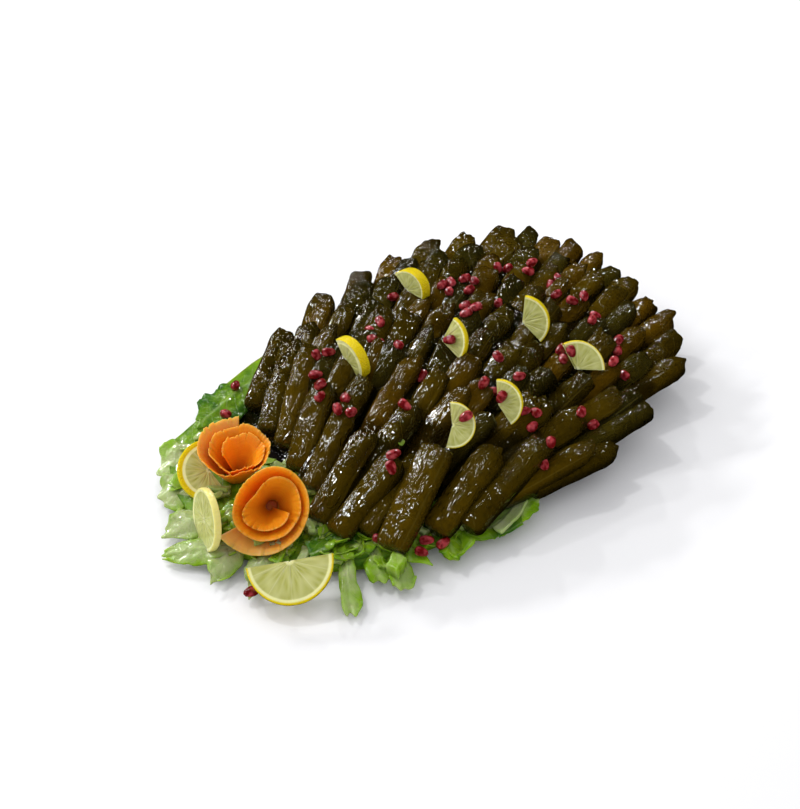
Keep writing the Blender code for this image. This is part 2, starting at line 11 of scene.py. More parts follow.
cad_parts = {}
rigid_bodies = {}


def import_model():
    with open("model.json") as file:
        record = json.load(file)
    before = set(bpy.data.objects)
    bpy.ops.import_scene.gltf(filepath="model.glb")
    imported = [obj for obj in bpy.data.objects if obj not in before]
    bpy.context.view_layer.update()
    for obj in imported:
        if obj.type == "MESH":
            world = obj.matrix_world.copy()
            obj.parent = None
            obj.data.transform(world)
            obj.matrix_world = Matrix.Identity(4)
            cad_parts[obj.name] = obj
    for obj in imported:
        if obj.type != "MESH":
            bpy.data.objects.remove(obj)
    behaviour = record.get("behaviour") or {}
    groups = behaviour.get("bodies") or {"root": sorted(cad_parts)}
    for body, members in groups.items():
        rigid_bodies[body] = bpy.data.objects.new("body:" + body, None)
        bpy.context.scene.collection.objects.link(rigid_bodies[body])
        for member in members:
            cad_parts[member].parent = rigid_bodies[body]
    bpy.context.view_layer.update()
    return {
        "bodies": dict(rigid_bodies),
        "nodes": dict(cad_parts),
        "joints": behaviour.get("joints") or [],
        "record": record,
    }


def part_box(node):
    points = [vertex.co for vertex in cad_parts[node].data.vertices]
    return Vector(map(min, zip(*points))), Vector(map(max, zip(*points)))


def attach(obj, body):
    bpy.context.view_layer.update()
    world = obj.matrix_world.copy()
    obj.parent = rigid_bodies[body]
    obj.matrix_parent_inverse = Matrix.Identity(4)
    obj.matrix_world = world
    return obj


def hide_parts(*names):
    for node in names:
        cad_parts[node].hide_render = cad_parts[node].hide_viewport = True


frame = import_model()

# The dish: a low oval platter of stoneware with a rolled rim, dipped in a thick black glaze. It is turned
# six degrees against the fan of rolls and lies almost wholly under the food. Sizes are in millimetres.
MM = 0.001
DISH_CENTRE = (23, 5)
DISH_HALF = (181, 116)
DISH_TURN = -6
DISH_SQUARENESS = 2.3
DISH_HEIGHT = 7.2
WELL_HEIGHT = 4.2
RIM_WIDTH = 13
DISH_PROFILE = (  # how far inside the rim, and how high: from under the foot round the rim to the well
    (120, 0), (20, 0), (18.6, 0.2), (12, 2), (5, 3.9), (1.6, 5.1), (0.4, 5.8), (0, 6.3), (0.25, 6.8),
    (1.1, DISH_HEIGHT), (2.2, 7.15), (3.4, 6.75), (5.5, 6), (9, 4.8), (RIM_WIDTH, WELL_HEIGHT),
    (16, WELL_HEIGHT), (120, WELL_HEIGHT),
)
DISH_STEPS = 120
DRAWN_IN = 0.9  # the glaze's rim lies this far inside the solid's outline
INMOST = 110  # where the faces under the foot and over the well are closed

# The places below are in the serving's own frame. SHIFT carries them to the frame of the solids.
low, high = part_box("dish")
SHIFT = np.array([(low.x + high.x) / 2, (low.y + high.y) / 2, low.z]) / MM - np.array([*DISH_CENTRE, 0])


def srgb(code):
    """A hex colour as the linear values that a shader takes."""
    values = [int(code[k:k + 2], 16) / 255 for k in (1, 3, 5)]
    return (*[v / 12.92 if v <= 0.04045 else ((v + 0.055) / 1.055) ** 2.4 for v in values], 1.0)


def feed(tree, node, inputs):
    """Sets a node's inputs to values or links them. A node given as a value stands for its output in use."""
    for name, value in inputs.items():
        if isinstance(value, bpy.types.Node):
            value = next(output for output in value.outputs if output.enabled)
        if isinstance(value, bpy.types.NodeSocket):
            tree.links.new(value, node.inputs[name])
        else:
            node.inputs[name].default_value = value


def add(tree, kind, inputs=None, **settings):
    """One node with its settings and its inputs."""
    made = tree.nodes.new("ShaderNode" + kind)
    for name, value in settings.items():
        setattr(made, name, value)
    feed(tree, made, inputs or {})
    return made


def finish(name, **values):
    """A material with its shader's plain numbers set: (material, tree, shader)."""
    made = bpy.data.materials.new(name)
    made.use_nodes = True
    shader = made.node_tree.nodes["Principled BSDF"]
    for socket, value in values.items():
        shader.inputs[socket.replace("_", " ")].default_value = value
    return made, made.node_tree, shader


def put(name, points, faces, material, stands_for, slot, **fields):
    """A smooth mesh piece at its place. The fields are values that its material reads at each point."""
    mesh = bpy.data.meshes.new(name)
    places = (np.asarray(points, float) + SHIFT) * MM
    mesh.from_pydata(places.tolist(), [], faces if isinstance(faces, list) else faces.tolist())
    for field, values in fields.items():
        values = np.asarray(values, np.float32)
        kind, key = ("FLOAT", "value") if values.ndim == 1 else ("FLOAT_VECTOR", "vector")
        mesh.attributes.new(field, kind, "POINT").data.foreach_set(key, values.ravel())
    mesh.materials.append(material)
    mesh.shade_smooth()
    made = bpy.data.objects.new(name, mesh)
    bpy.context.scene.collection.objects.link(made)
    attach(made, "root")
    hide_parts(*stands_for)


def tube_faces(rings, around, first=0):
    """Quads between rings of points that follow each other."""
    near = np.arange(rings - 1)[:, None] * around
    k = np.arange(around)[None, :]
    n = (k + 1) % around
    quads = np.stack([near + k, near + n, near + around + n, near + around + k], axis=-1)
    return quads.reshape(-1, 4) + first


def end_faces(count, around, first=0):
    """The two faces that close a tube of so many points."""
    return [[*range(first + around - 1, first - 1, -1)], [*range(first + count - around, first + count)]]


def oval(centre, half, inset=0, squareness=2, turn=0, steps=DISH_STEPS):
    """Points round a superellipse, as an array of x and y."""
    angle = 2 * math.pi * np.arange(steps) / steps
    x = (half[0] - inset) * np.sign(np.cos(angle)) * np.abs(np.cos(angle)) ** (2 / squareness)
    y = (half[1] - inset) * np.sign(np.sin(angle)) * np.abs(np.sin(angle)) ** (2 / squareness)
    turn = math.radians(turn)
    return np.stack([centre[0] + x * math.cos(turn) - y * math.sin(turn),
                     centre[1] + x * math.sin(turn) + y * math.cos(turn)], axis=-1)


def joined(parts):
    """Several meshes as one. A part is its points, its faces and what its material reads at each point."""
    points, faces, *fields = zip(*parts)
    starts = np.cumsum([0] + [len(part) for part in points[:-1]])
    faces = np.concatenate([part + start for part, start in zip(faces, starts)])
    return np.concatenate(points), faces, *[np.concatenate(field) for field in fields]


def dish_ring(inset, z, steps=DISH_STEPS):
    """A ring round the dish, this far inside its outline."""
    spots = oval(DISH_CENTRE, DISH_HALF, inset, DISH_SQUARENESS, DISH_TURN, steps)
    return np.column_stack([spots, np.full(steps, float(z))])


# Black tenmoku-like glaze: glass over a dark iron body, near mirror-smooth, with a faint brown tinge where
# it thins and a slow orange-peel ripple.
glaze, tree, shader = finish("black glazed stoneware", Roughness=0.07, IOR=1.52, Coat_Weight=0.6,
                             Coat_Roughness=0.04)
place = add(tree, "TexCoord").outputs["Object"]
ripple = add(tree, "TexNoise", {"Vector": place, "Scale": 110.0, "Detail": 3.0})
cloud = add(tree, "TexNoise", {"Vector": place, "Scale": 18.0, "Detail": 4.0})
thin = add(tree, "Mix", {0: cloud, 6: srgb("#0b0c0e"), 7: srgb("#1a1512")}, data_type="RGBA")
bump = add(tree, "Bump", {"Height": ripple, "Strength": 0.12, "Distance": 0.0004})
feed(tree, shader, {"Base Color": thin, "Normal": bump})

rings = [dish_ring(min(inset + DRAWN_IN, INMOST), z) for inset, z in DISH_PROFILE]
points = np.concatenate(rings)
faces = tube_faces(len(rings), DISH_STEPS).tolist() + end_faces(len(points), DISH_STEPS)
put("black_dish", points, faces, glaze, ["dish"], "black_glaze")

# The stuffed leaves: brined vine leaves wrapped round rice, cooked in oil and lemon until they turn olive
# brown, then laid in rows like shingles over a low mound. Each is wound in one leaf: the leaf's edge makes
# a step that runs along the roll, its sides are tucked in at the ends, and its veins stand up a little.
Roll = namedtuple("Roll", "start heading lean length width spin end")  # end: how wide it is there
HEAP_CENTRE = (78, -11)
DOME_CENTRE = (54, -11)
DOME_HALF = (197, 158)
EDGE_HEIGHT = 25
PEAK_HEIGHT = 62
FAN_CENTRE = (-265, -50)
BACK_EDGE = (  # a heading in degrees, and how far the heap reaches there from the fan's centre
    (-18, 306), (-16, 326), (-13, 382), (-10, 430), (-5, 460), (1, 484), (7, 503), (13, 498),
    (18, 455), (22, 418), (28, 355), (32, 300),
)
FRONT_EDGE = (
    (-18, 306), (-13, 292), (-9, 258), (-3, 232), (3, 212), (12, 222), (20, 238), (27, 276), (32, 290),
)
ROW_STEP = 31
PITCH = 20.6  # from roll to roll in a row
ROLL_LENGTH = 78
ROLL_WIDTH = 19.5
ROLL_THICKNESS = 16.5
END_SLANT = 3.5
LEAN = 26  # degrees by which a roll rises on those before it
REST_HEIGHT = 8.5
LAYOUT_SEED = 7
FRONT_ROLLS = (  # start, heading, lean, length, width and how wide the far end still is
    ((-69, 76), 27, 9, 74, 17, 0.7),
    ((-80, 50), 31, 14, 78, 18, 0.75),
    ((-83, 30), 31, 19, 78, 18, 0.8),
    ((-93, 8), 25, 25, 62, 21, 0.85),
    ((-100, -11), 17, 24, 62, 19, 0.85),
    ((-118, -34), 11, 21, 70, 19, 0.8),
    ((-118, -52), 2, 20, 62, 20, 0.8),
    ((-105, -64), 8, 14, 60, 17, 0.8),
    ((-104, -86), 15, 23, 74, 24, 0.9),
    ((-74, -96), 4, 18, 66, 23, 0.85),
    ((-58, -110), 0, 15, 80, 20, 0.85),
    ((-4, -117), -17, 3, 66, 20, 0.9),
)


def reach_of(edge, heading):
    """How far this edge of the heap lies from the fan's centre, under a heading in degrees."""
    for (low, near), (high, far) in zip(edge, edge[1:]):
        if low <= heading <= high:
            return near + (far - near) * (heading - low) / (high - low)
    return 0


def heap_top(x, y):
    """The height of the rolls' upper side."""
    u = (x - DOME_CENTRE[0]) / DOME_HALF[0]
    v = (y - DOME_CENTRE[1]) / DOME_HALF[1]
    return EDGE_HEIGHT + (PEAK_HEIGHT - EDGE_HEIGHT) * max(0, 1 - u * u) * max(0, 1 - v * v)


def roll_layout():
    """First the front rolls, then the rows behind them, which follow the back edge."""
    draw = random.Random(LAYOUT_SEED)
    lowest = REST_HEIGHT + ROLL_THICKNESS / 2
    rolls = []
    for (x, y), heading, lean, length, width, end in FRONT_ROLLS:
        spin = draw.uniform(-0.25, 0.25)
        start = Vector((x, y, lowest))
        rolls.append(Roll(start, math.radians(heading), math.radians(lean), length, width, spin, end))
    rows = round((max(reach for _, reach in BACK_EDGE) - min(reach for _, reach in FRONT_EDGE)) / ROW_STEP)
    for row in reversed(range(rows)):
        angle = BACK_EDGE[0][0] + draw.uniform(1, 3)
        while angle < BACK_EDGE[-1][0]:
            back = reach_of(BACK_EDGE, angle)
            front = reach_of(FRONT_EDGE, angle)
            here = round((back - front) / ROW_STEP)
            reach = back - row * (back - front) / max(here, 1)
            way = math.radians(angle + draw.uniform(-0.4, 0.4))
            heading = way + math.radians(draw.uniform(-6, 6))
            length = ROLL_LENGTH * draw.uniform(0.92, 1.08)
            width = ROLL_WIDTH * draw.uniform(0.88, 1.12)
            spin = draw.uniform(-0.35, 0.35)
            end = draw.uniform(0.6, 0.92)
            reach += draw.uniform(-6, 6) if row else draw.uniform(-4, 1)
            angle += math.degrees(PITCH / reach)
            if row >= here:
                continue
            x = FAN_CENTRE[0] + reach * math.cos(way)
            y = FAN_CENTRE[1] + reach * math.sin(way)
            high = max(heap_top(x, y) - ROLL_THICKNESS / 2, lowest)
            low = max(high - length * math.sin(math.radians(LEAN)), lowest)
            lean = math.asin((high - low) / length)
            run = Vector((math.cos(heading), math.sin(heading), 0)) * length * math.cos(lean)
            rolls.append(Roll(Vector((x, y, low)) - run, heading, lean, length, width, spin, end))
    return rolls


def roll_frame(roll):
    """The matrix that carries a roll from +X to its place."""
    turn = Matrix.Rotation(roll.heading, 4, "Z") @ Matrix.Rotation(-roll.lean, 4, "Y")
    return Matrix.Translation(roll.start) @ turn @ Matrix.Rotation(roll.spin, 4, "X")


def placed(points, frame):
    """Points carried by a matrix."""
    turn = np.array(frame.to_3x3())
    return points @ turn.T + np.array(frame.translation)


def crumple(points, grain, seed):
    """Smooth noise between -1 and 1 at each point, for lumps of this size in millimetres."""
    offset = Vector((seed * 7.3, seed * 3.1, seed * 5.7))
    return np.array([noise.noise(Vector(p) / grain + offset) for p in points])


AROUND = 52
ALONG = 27
TAPER_FROM = 0.87  # the share of its length from which a roll draws in towards its end
LAP_HEIGHT = 0.9  # the step at the leaf's edge, where it laps over itself
PLEAT_REACH = 9.0  # how far the tucks at the end run back along the roll
# Rings of points: from the start (place, size), back from the end (place, size), and over the end (size).
START_RINGS = ((0.0, 0.02), (0.0, 0.40), (0.2, 0.66), (1.2, 0.84), (3.0, 0.93), (6.0, 0.96))
END_RINGS = ((1.3, 0.985), (0.7, 0.955), (0.2, 0.91))
CAP_RINGS = (0.86, 0.81, 0.75, 0.69, 0.62, 0.54, 0.46, 0.37, 0.27, 0.15, 0.02)
DEPTH_SHADE, DEPTH_RUN = 3.6, 6.0  # painted shade: a roll's leaf is painted darker downwards from this height over its axis, for the shade under and between the rolls


def rolled_leaf(roll, number, draw):
    """One roll along +X: points, quads, places on the leaf, nearness to the end, and the painted shade
    towards the underside.
    """
    length = roll.length
    lap, lap_turn = draw.uniform(0, 2 * math.pi), draw.uniform(-0.012, 0.012)
    boxy, end_boxy = draw.uniform(2.3, 2.9), draw.uniform(2.6, 3.8)
    corner = (0.9, 2.2)[number % 2] + draw.uniform(-0.25, 0.25)
    pull, slant = draw.uniform(1.2, 3.8), draw.uniform(-0.8, 1.6)
    pleats = [(draw.choice((2, 3, 4, 5)), draw.uniform(0, math.pi), draw.uniform(0.5, 1.3)) for _ in range(3)]
    folds = [(draw.uniform(0, 2 * math.pi), draw.uniform(-3, 3), draw.uniform(0.8, 2.0)) for _ in range(3)]
    bend, coil = draw.uniform(-1.2, 1.2), draw.uniform(0, 1)
    stations = [(x, size, False) for x, size in START_RINGS]
    stations += [(6 + (length - 8) * k / ALONG, 0.96 + 0.04 * min(1, k / 8), False)
                 for k in range(1, ALONG + 1)]
    stations += [(length - back, size, False) for back, size in END_RINGS]
    stations += [(length + 0.15, size, True) for size in CAP_RINGS]
    share_round = np.arange(AROUND) / (AROUND - 1)
    rings = []
    for x, size, cap in stations:
        theta = lap + lap_turn * x + 0.03 + (2 * math.pi - 0.06) * share_round
        along_share = x / length
        near = math.exp(-max(length - x, 0) / PLEAT_REACH)
        square = boxy + (end_boxy - boxy) * near
        cos, sin = np.cos(theta), np.sin(theta)
        flat_y = np.sign(cos) * np.abs(cos) ** (2 / square)
        flat_z = np.sign(sin) * np.abs(sin) ** (2 / square)
        full = max(1 + (roll.end - 1) * max(along_share - TAPER_FROM, 0) / (1 - TAPER_FROM), roll.end)
        tuck = sum(deep * (np.abs(np.sin(count * theta / 2 + turn + x * 0.04)) - 0.6)
                   for count, turn, deep in pleats)
        peak = np.exp(-(((theta - corner + math.pi) % (2 * math.pi) - math.pi) / 0.55) ** 2)
        radial = -LAP_HEIGHT * share_round + near * (0.9 * tuck + 1.1 * peak)
        scale = size * full * (1 + radial / (ROLL_THICKNESS / 2) * min(size * 1.2, 1))
        y = roll.width / 2 * 1.02 * flat_y * scale
        z = ROLL_THICKNESS / 2 * flat_z * scale + bend * (1 - (2 * along_share - 1) ** 2)
        along = x + size**2 * (END_SLANT * slant * sin + pull * peak) * near**3
        if cap:  # the wound leaf's edge shows as a step in a spiral, with the side folded over it
            coiled = (theta / (2 * math.pi) + 1.6 * size + coil) % 1
            along = along + 1.1 * (coiled - 0.6) * min(1, 8 * (0.88 - size))
            for turn, offset, deep in folds:
                across = y * math.cos(turn) + z * math.sin(turn) - offset
                step = deep * (1 / (1 + np.exp(-across / 0.5)) - 0.5)
                along = along + step - 0.7 * deep * np.exp(-(across / 0.8) ** 2)
        rings.append(np.stack([along, y, z], axis=-1))
    points = np.concatenate(rings)
    seed = draw.uniform(0, 90)
    out = points * (0, 1, 1)
    out /= np.maximum(np.linalg.norm(out, axis=1, keepdims=True), 0.5)
    ends = np.exp(-np.maximum(length - points[:, 0], 0) / 12)
    relief = 1.1 * crumple(points, 17, seed) + 0.35 * crumple(points * (0.5, 1, 1), 6, seed + 3)
    tucks = 1.6 * np.abs(crumple(points * (0.7, 1, 1), 6, seed + 8))
    tucks += 0.9 * np.abs(crumple(points, 3, seed + 4))
    relief -= ends * (tucks - 0.6)
    points = points + out * relief[:, None] * 0.8
    points[:, 0] += ends * 0.8 * crumple(points, 4, seed + 20)
    # Painted shade: the leaf is painted darker towards the roll's underside, where shade falls between the
    # rolls.
    low = np.clip((DEPTH_SHADE - points[:, 2]) / DEPTH_RUN, 0, 1)
    faces = tube_faces(len(rings), AROUND)
    turned = np.array(Matrix.Rotation(-draw.uniform(0.7, 2.4), 3, "X"))
    leaf_place = points @ turned.T
    leaf_place[:, 0] += draw.uniform(0, 400)
    return points, faces, leaf_place, ends, low


# Cooked vine leaf under a film of oil: a leathery olive-brown skin, in places creased so that the oil breaks
# the light into small white glints, and drawn smooth between them. Side veins leave the midrib every 12 mm.
def vine_leaf(name, dark, mid, warm, veil):
    made, tree, shader = finish(name, IOR=1.40, Specular_IOR_Level=0.0, Coat_Weight=1.0, Coat_Roughness=0.02,
                                Coat_IOR=1.52, Roughness=0.6)
    place = add(tree, "Attribute", attribute_name="leaf_place").outputs["Vector"]
    tone = add(tree, "Attribute", attribute_name="leaf_tone").outputs["Fac"]
    tucked = add(tree, "Attribute", attribute_name="leaf_end").outputs["Fac"]
    parts = add(tree, "SeparateXYZ", {0: place})
    angle = add(tree, "Math", {0: parts.outputs[1], 1: parts.outputs[2]}, operation="ARCTAN2")
    arc = add(tree, "Math", {0: angle, 1: 8.6}, operation="MULTIPLY")
    side = add(tree, "Math", {0: arc}, operation="ABSOLUTE")
    wander = add(tree, "TexNoise", {"Vector": place, "Scale": 0.16, "Detail": 2.0})
    bent = add(tree, "Math", {0: wander, 1: 9.0, 2: parts.outputs[0]}, operation="MULTIPLY_ADD")
    slope = add(tree, "Math", {0: bent, 1: side}, operation="SUBTRACT")
    wave = add(tree, "Math", {0: slope, 1: 6.2}, operation="PINGPONG")
    thin = add(tree, "MapRange", {0: wave, 1: 0.0, 2: 0.5, 3: 1.0, 4: 0.0}, interpolation_type="SMOOTHSTEP")
    rib = add(tree, "MapRange", {0: side, 1: 0.15, 2: 0.8, 3: 1.0, 4: 0.0}, interpolation_type="SMOOTHSTEP")
    veins = add(tree, "Math", {0: thin, 1: rib}, operation="MAXIMUM")
    patches = add(tree, "TexNoise", {"Vector": place, "Scale": 0.05, "Detail": 4.0, "Roughness": 0.6})
    speck = add(tree, "TexNoise", {"Vector": place, "Scale": 0.35, "Detail": 5.0, "Roughness": 0.65})
    blotch = add(tree, "MapRange", {0: patches, 1: 0.36, 2: 0.62})
    skin = add(tree, "Mix", {0: blotch, 6: srgb(dark), 7: srgb(mid)}, data_type="RGBA")
    # The leaf's own warm tone, which also carries the painted light that pales the back rolls.
    warmth_and_painted_light = add(tree, "Math", {0: tone, 1: speck}, operation="MULTIPLY")
    amber = add(tree, "Mix", {0: warmth_and_painted_light, 6: skin, 7: srgb(warm)}, data_type="RGBA")
    vein_share = add(tree, "Math", {0: veins, 1: 0.22}, operation="MULTIPLY")
    veined = add(tree, "Mix", {0: vein_share, 6: amber, 7: srgb(veil)}, data_type="RGBA")
    end_share = add(tree, "Math", {0: tucked, 1: 0.6}, operation="MULTIPLY")
    tucked_skin = add(tree, "Mix", {0: end_share, 6: veined, 7: srgb(dark)}, data_type="RGBA")
    # Painted shade: the leaf is painted towards near black under and between the rolls.
    painted_shade = add(tree, "Attribute", attribute_name="leaf_low").outputs["Fac"]
    painted_shade = add(tree, "Math", {0: painted_shade, 1: 0.90}, operation="MULTIPLY")
    shaded = add(tree, "Mix", {0: painted_shade, 6: tucked_skin, 7: srgb("#0d0a02")}, data_type="RGBA")
    # Creases run mostly along the roll, gather in patches, and are strongest at the tucked end.
    long = add(tree, "VectorMath", {0: place, 1: (0.55, 1.0, 1.0)}, operation="MULTIPLY")
    crease = add(tree, "TexNoise", {"Vector": long, "Scale": 0.26, "Detail": 1.0, "Roughness": 0.3,
                                    "Distortion": 0.7})
    crease = add(tree, "Math", {0: crease, 1: 0.5}, operation="SUBTRACT")
    crease = add(tree, "Math", {0: crease}, operation="ABSOLUTE")
    where = add(tree, "TexNoise", {"Vector": place, "Scale": 0.075, "Detail": 1.0})
    patch = add(tree, "MapRange", {0: where, 1: 0.42, 2: 0.60, 3: 0.22, 4: 1.05},
                interpolation_type="SMOOTHSTEP")
    share = add(tree, "Math", {0: patch, 1: tucked}, operation="MAXIMUM")
    fine = add(tree, "TexNoise", {"Vector": long, "Scale": 0.6, "Detail": 0.0})
    fine = add(tree, "Math", {0: fine, 1: 0.5}, operation="SUBTRACT")
    fine = add(tree, "Math", {0: fine}, operation="ABSOLUTE")
    both = add(tree, "Math", {0: fine, 1: 0.15, 2: crease}, operation="MULTIPLY_ADD")
    creased = add(tree, "Math", {0: both, 1: share}, operation="MULTIPLY")
    height = add(tree, "Math", {0: veins, 1: 0.05, 2: creased}, operation="MULTIPLY_ADD")
    bump = add(tree, "Bump", {"Height": height, "Strength": 1.0, "Distance": 0.0040})
    feed(tree, shader, {"Base Color": shaded, "Normal": bump, "Coat Normal": bump})
    return made


# The front rolls' leaf is the olive leaf painted darker: painted shade over the front of the heap.
front_leaf_painted_shade = vine_leaf("oiled vine leaf, deep olive", "#171302", "#342a03", "#4e3b05", "#5f5222")
olive_leaf = vine_leaf("oiled vine leaf, olive", "#1c1703", "#3e3204", "#543f05", "#685924")
brown_leaf = vine_leaf("oiled vine leaf, brown", "#241a02", "#473504", "#604406", "#745a1e")
dark_leaf = vine_leaf("oiled vine leaf, dark green", "#161305", "#302a09", "#433909", "#5e5628")

SKINS = {  # the leaf of each group of rolls, and its share of the rolls behind the front ones
    "front_rolls": (front_leaf_painted_shade, 0), "olive_rolls": (olive_leaf, 0.40), "brown_rolls": (brown_leaf, 0.28),
    "dark_rolls": (dark_leaf, 0.32),
}
AMBER_FRONT = (2, 8, 9)  # the front rolls with the warmest leaves
AMBER_TONE = 1.4
PALE_FROM, PALE_RUN = 60, 110  # from here backwards the leaves are painted paler over this run, painted light on the back of the heap
SHOWING, SHADE_RUN = 25, 9  # but for this length at its end a roll is under the next, and a painted shadow darkens its leaf there
SHADE = 0.85
SHADED_FAN = (-12, 25)  # headings in degrees: outside them the rolls show all their length
EDGE_ROOM, EDGE_EASE = 130.0, 4  # rolls that lie further out across the fan are drawn in

draw = random.Random(11)
groups = {kind: [] for kind in SKINS}
for number, roll in enumerate(roll_layout()):
    behind = number >= len(FRONT_ROLLS)
    kind = "front_rolls"
    if behind:
        kind = draw.choices(list(SKINS)[1:], [share for _, share in list(SKINS.values())[1:]])[0]
    points, faces, leaf_place, ends, low = rolled_leaf(roll, number, draw)
    if number in AMBER_FRONT:
        tone = AMBER_TONE
    else:
        # Towards the back the leaves are painted paler: painted light on the back of the heap.
        tone = draw.uniform(0.1, 1.2) + min(max((roll.start.x - PALE_FROM) / PALE_RUN, 0), 1)
    bearing = math.degrees(math.atan2(roll.start.y - FAN_CENTRE[1], roll.start.x - FAN_CENTRE[0]))
    # Painted shadow: where a roll lies under the next one, its leaf is painted dark, for the shadow behind
    # that roll's end.
    if behind and SHADED_FAN[0] < bearing < SHADED_FAN[1]:
        low = np.maximum(low, SHADE * np.clip((roll.length - SHOWING - points[:, 0]) / SHADE_RUN, 0, 1))
    points = placed(points, roll_frame(roll))
    across = points[:, 1] - HEAP_CENTRE[1]
    past = np.maximum(np.abs(across) - EDGE_ROOM, 0)
    points[:, 1] -= np.sign(across) * (past - EDGE_EASE * (1 - np.exp(-past / EDGE_EASE)))
    groups[kind].append((points, faces, leaf_place, ends, np.full(len(points), tone), low))
for kind, parts in groups.items():
    points, faces, leaf_place, ends, tones, low = joined(parts)
    put(kind, points, faces, SKINS[kind][0], ["dolma_heap"], "vine_leaf", leaf_place=leaf_place,
        leaf_end=ends, leaf_tone=tones, leaf_low=low)
points, faces = joined([part[:2] for parts in groups.values() for part in parts])
roll_surface = BVHTree.FromPolygons(points.tolist(), faces.tolist())

# The heap's middle: more rolls lie here unseen, so it is closed as one dark mound that only shows between
# the rolls. It has the same skin as the darkest leaves, painted near black all over as painted shade in the
# gaps.
HEAP_HALF = (155, 132)
CORE_INSET = 24
CORE_DEPTH = 15  # under the top of the rolls
CORE_FRONT = -80  # it ends behind the front rolls
CORE_STEPS = 28
rings = [np.maximum(dish_ring(inset, z, CORE_STEPS), (CORE_FRONT, -math.inf, 0))
         for inset, z in ((RIM_WIDTH + 18, WELL_HEIGHT + 0.35), (RIM_WIDTH + 16, REST_HEIGHT))]
for share in (1.0, 0.8, 0.55, 0.3, 0.08):
    ring = []
    for x, y in oval(HEAP_CENTRE, HEAP_HALF, CORE_INSET, steps=CORE_STEPS):
        x = max(HEAP_CENTRE[0] + (x - HEAP_CENTRE[0]) * share, CORE_FRONT)
        y = HEAP_CENTRE[1] + (y - HEAP_CENTRE[1]) * share
        ring.append((x, y, max(heap_top(x, y) - (CORE_DEPTH if share < 1 else EDGE_HEIGHT), REST_HEIGHT + 1)))
    rings.append(np.array(ring))
points = np.concatenate(rings)
faces = tube_faces(len(rings), CORE_STEPS).tolist() + end_faces(len(points), CORE_STEPS)
put("heap_middle", points, faces, dark_leaf, ["dolma_heap"], "vine_leaf", leaf_place=points,
    leaf_end=np.ones(len(points)), leaf_tone=np.zeros(len(points)), leaf_low=np.ones(len(points)))

# Pomegranate seeds: soft drops of red juice round a small kernel, about 9 mm long, with four or five sides
# where they were packed against each other in the fruit. They are scattered in twos and threes.
ARIL_LENGTH = 9.4
ARIL_SPREAD = 4.6  # how far the seeds of a cluster lie from its middle
ARIL_THICK = 3.4  # from the middle of a seed to its underside
ARIL_SIDES, ARIL_RINGS = 18, 13
ARIL_CLUSTERS = (  # place on the rolls, and how many
    (95, 38, 3), (104, 28, 2), (118, 31, 1), (108, 2, 2), (76, 2, 3), (150, 30, 2), (160, 12, 2),
    (163, -8, 2), (148, -22, 1), (150, -40, 2), (142, -60, 2), (134, -88, 2), (92, -26, 1),
    (54, -43, 1), (12, 12, 1), (10, -12, 1), (88, -72, 2), (26, -57, 2), (46, -67, 1),
    (110, -105, 2), (25, 46, 2), (14, 35, 2), (-20, 55, 2), (67, 68, 1), (-38, 43, 2),
    (-50, 27, 2), (-43, 10, 1), (-53, 2, 2), (-27, -29, 1), (-66, -53, 2), (26, -93, 3),
    (57, -117, 2), (12, -118, 2),
)
# Seeds on the lettuce. The fifth to seventh lie at the front right feet of the rolls.
BED_ARILS = ((-60, 104), (-84, 88), (-96, 76), (-103, -75), (-83, -97), (-75, -105), (-91, -100), (-181, -39))
LEMON_ARILS = {  # the piece, then how far out from its core and how far across
    "lemon_middle": (7.5, 0), "lemon_front": (8, 6), "lemon_far_right": (8, 10.5),
    "lemon_front_right": (4.5, 4),
}


def seed_shape(draw):
    """One seed along X, blunt at one end and drawn in at the other."""
    rings = []
    length = ARIL_LENGTH * draw.uniform(0.94, 1.12)
    sides, turn = draw.choice((4, 5)), draw.uniform(0, 6)
    theta = 2 * math.pi * np.arange(ARIL_SIDES) / ARIL_SIDES
    for k in range(ARIL_RINGS):
        share = k / (ARIL_RINGS - 1)
        round_off = math.sqrt(max(0, 1 - (2 * share - 1) ** 2)) ** 0.8
        radius = (2.7 + 1.25 * share) * round_off + 0.02
        facet = 1 + 0.05 * np.cos(sides * theta + turn)
        rings.append(np.stack([np.full(ARIL_SIDES, length * (share - 0.5)), radius * facet * np.cos(theta),
                               radius * facet * np.sin(theta) * 0.92], axis=-1))
    return np.concatenate(rings), tube_faces(ARIL_RINGS, ARIL_SIDES)


def lay_seeds(spots, surface, draw, raised=0.55):
    """Seeds that lie on a surface under the spots: (points, faces, places in the seed)."""
    seeds = []
    for x, y in spots:
        hit, normal, _, _ = surface.ray_cast(Vector((x, y, 200)), Vector((0, 0, -1)))
        if hit is None:
            continue
        if normal.z < 0:
            normal = -normal
        lie = (normal + Vector((0, 0, 0.8))).normalized().to_track_quat("Z", "Y").to_matrix().to_4x4()
        turn = Matrix.Rotation(draw.uniform(0, 2 * math.pi), 4, "Z")
        turn = turn @ Matrix.Rotation(draw.uniform(-0.3, 0.3), 4, "Y")
        shape, quads = seed_shape(draw)
        where = Matrix.Translation(hit) @ lie @ Matrix.Translation((0, 0, ARIL_THICK * raised)) @ turn
        seeds.append((placed(shape, where), quads, shape + draw.uniform(0, 90)))
    return joined(seeds)


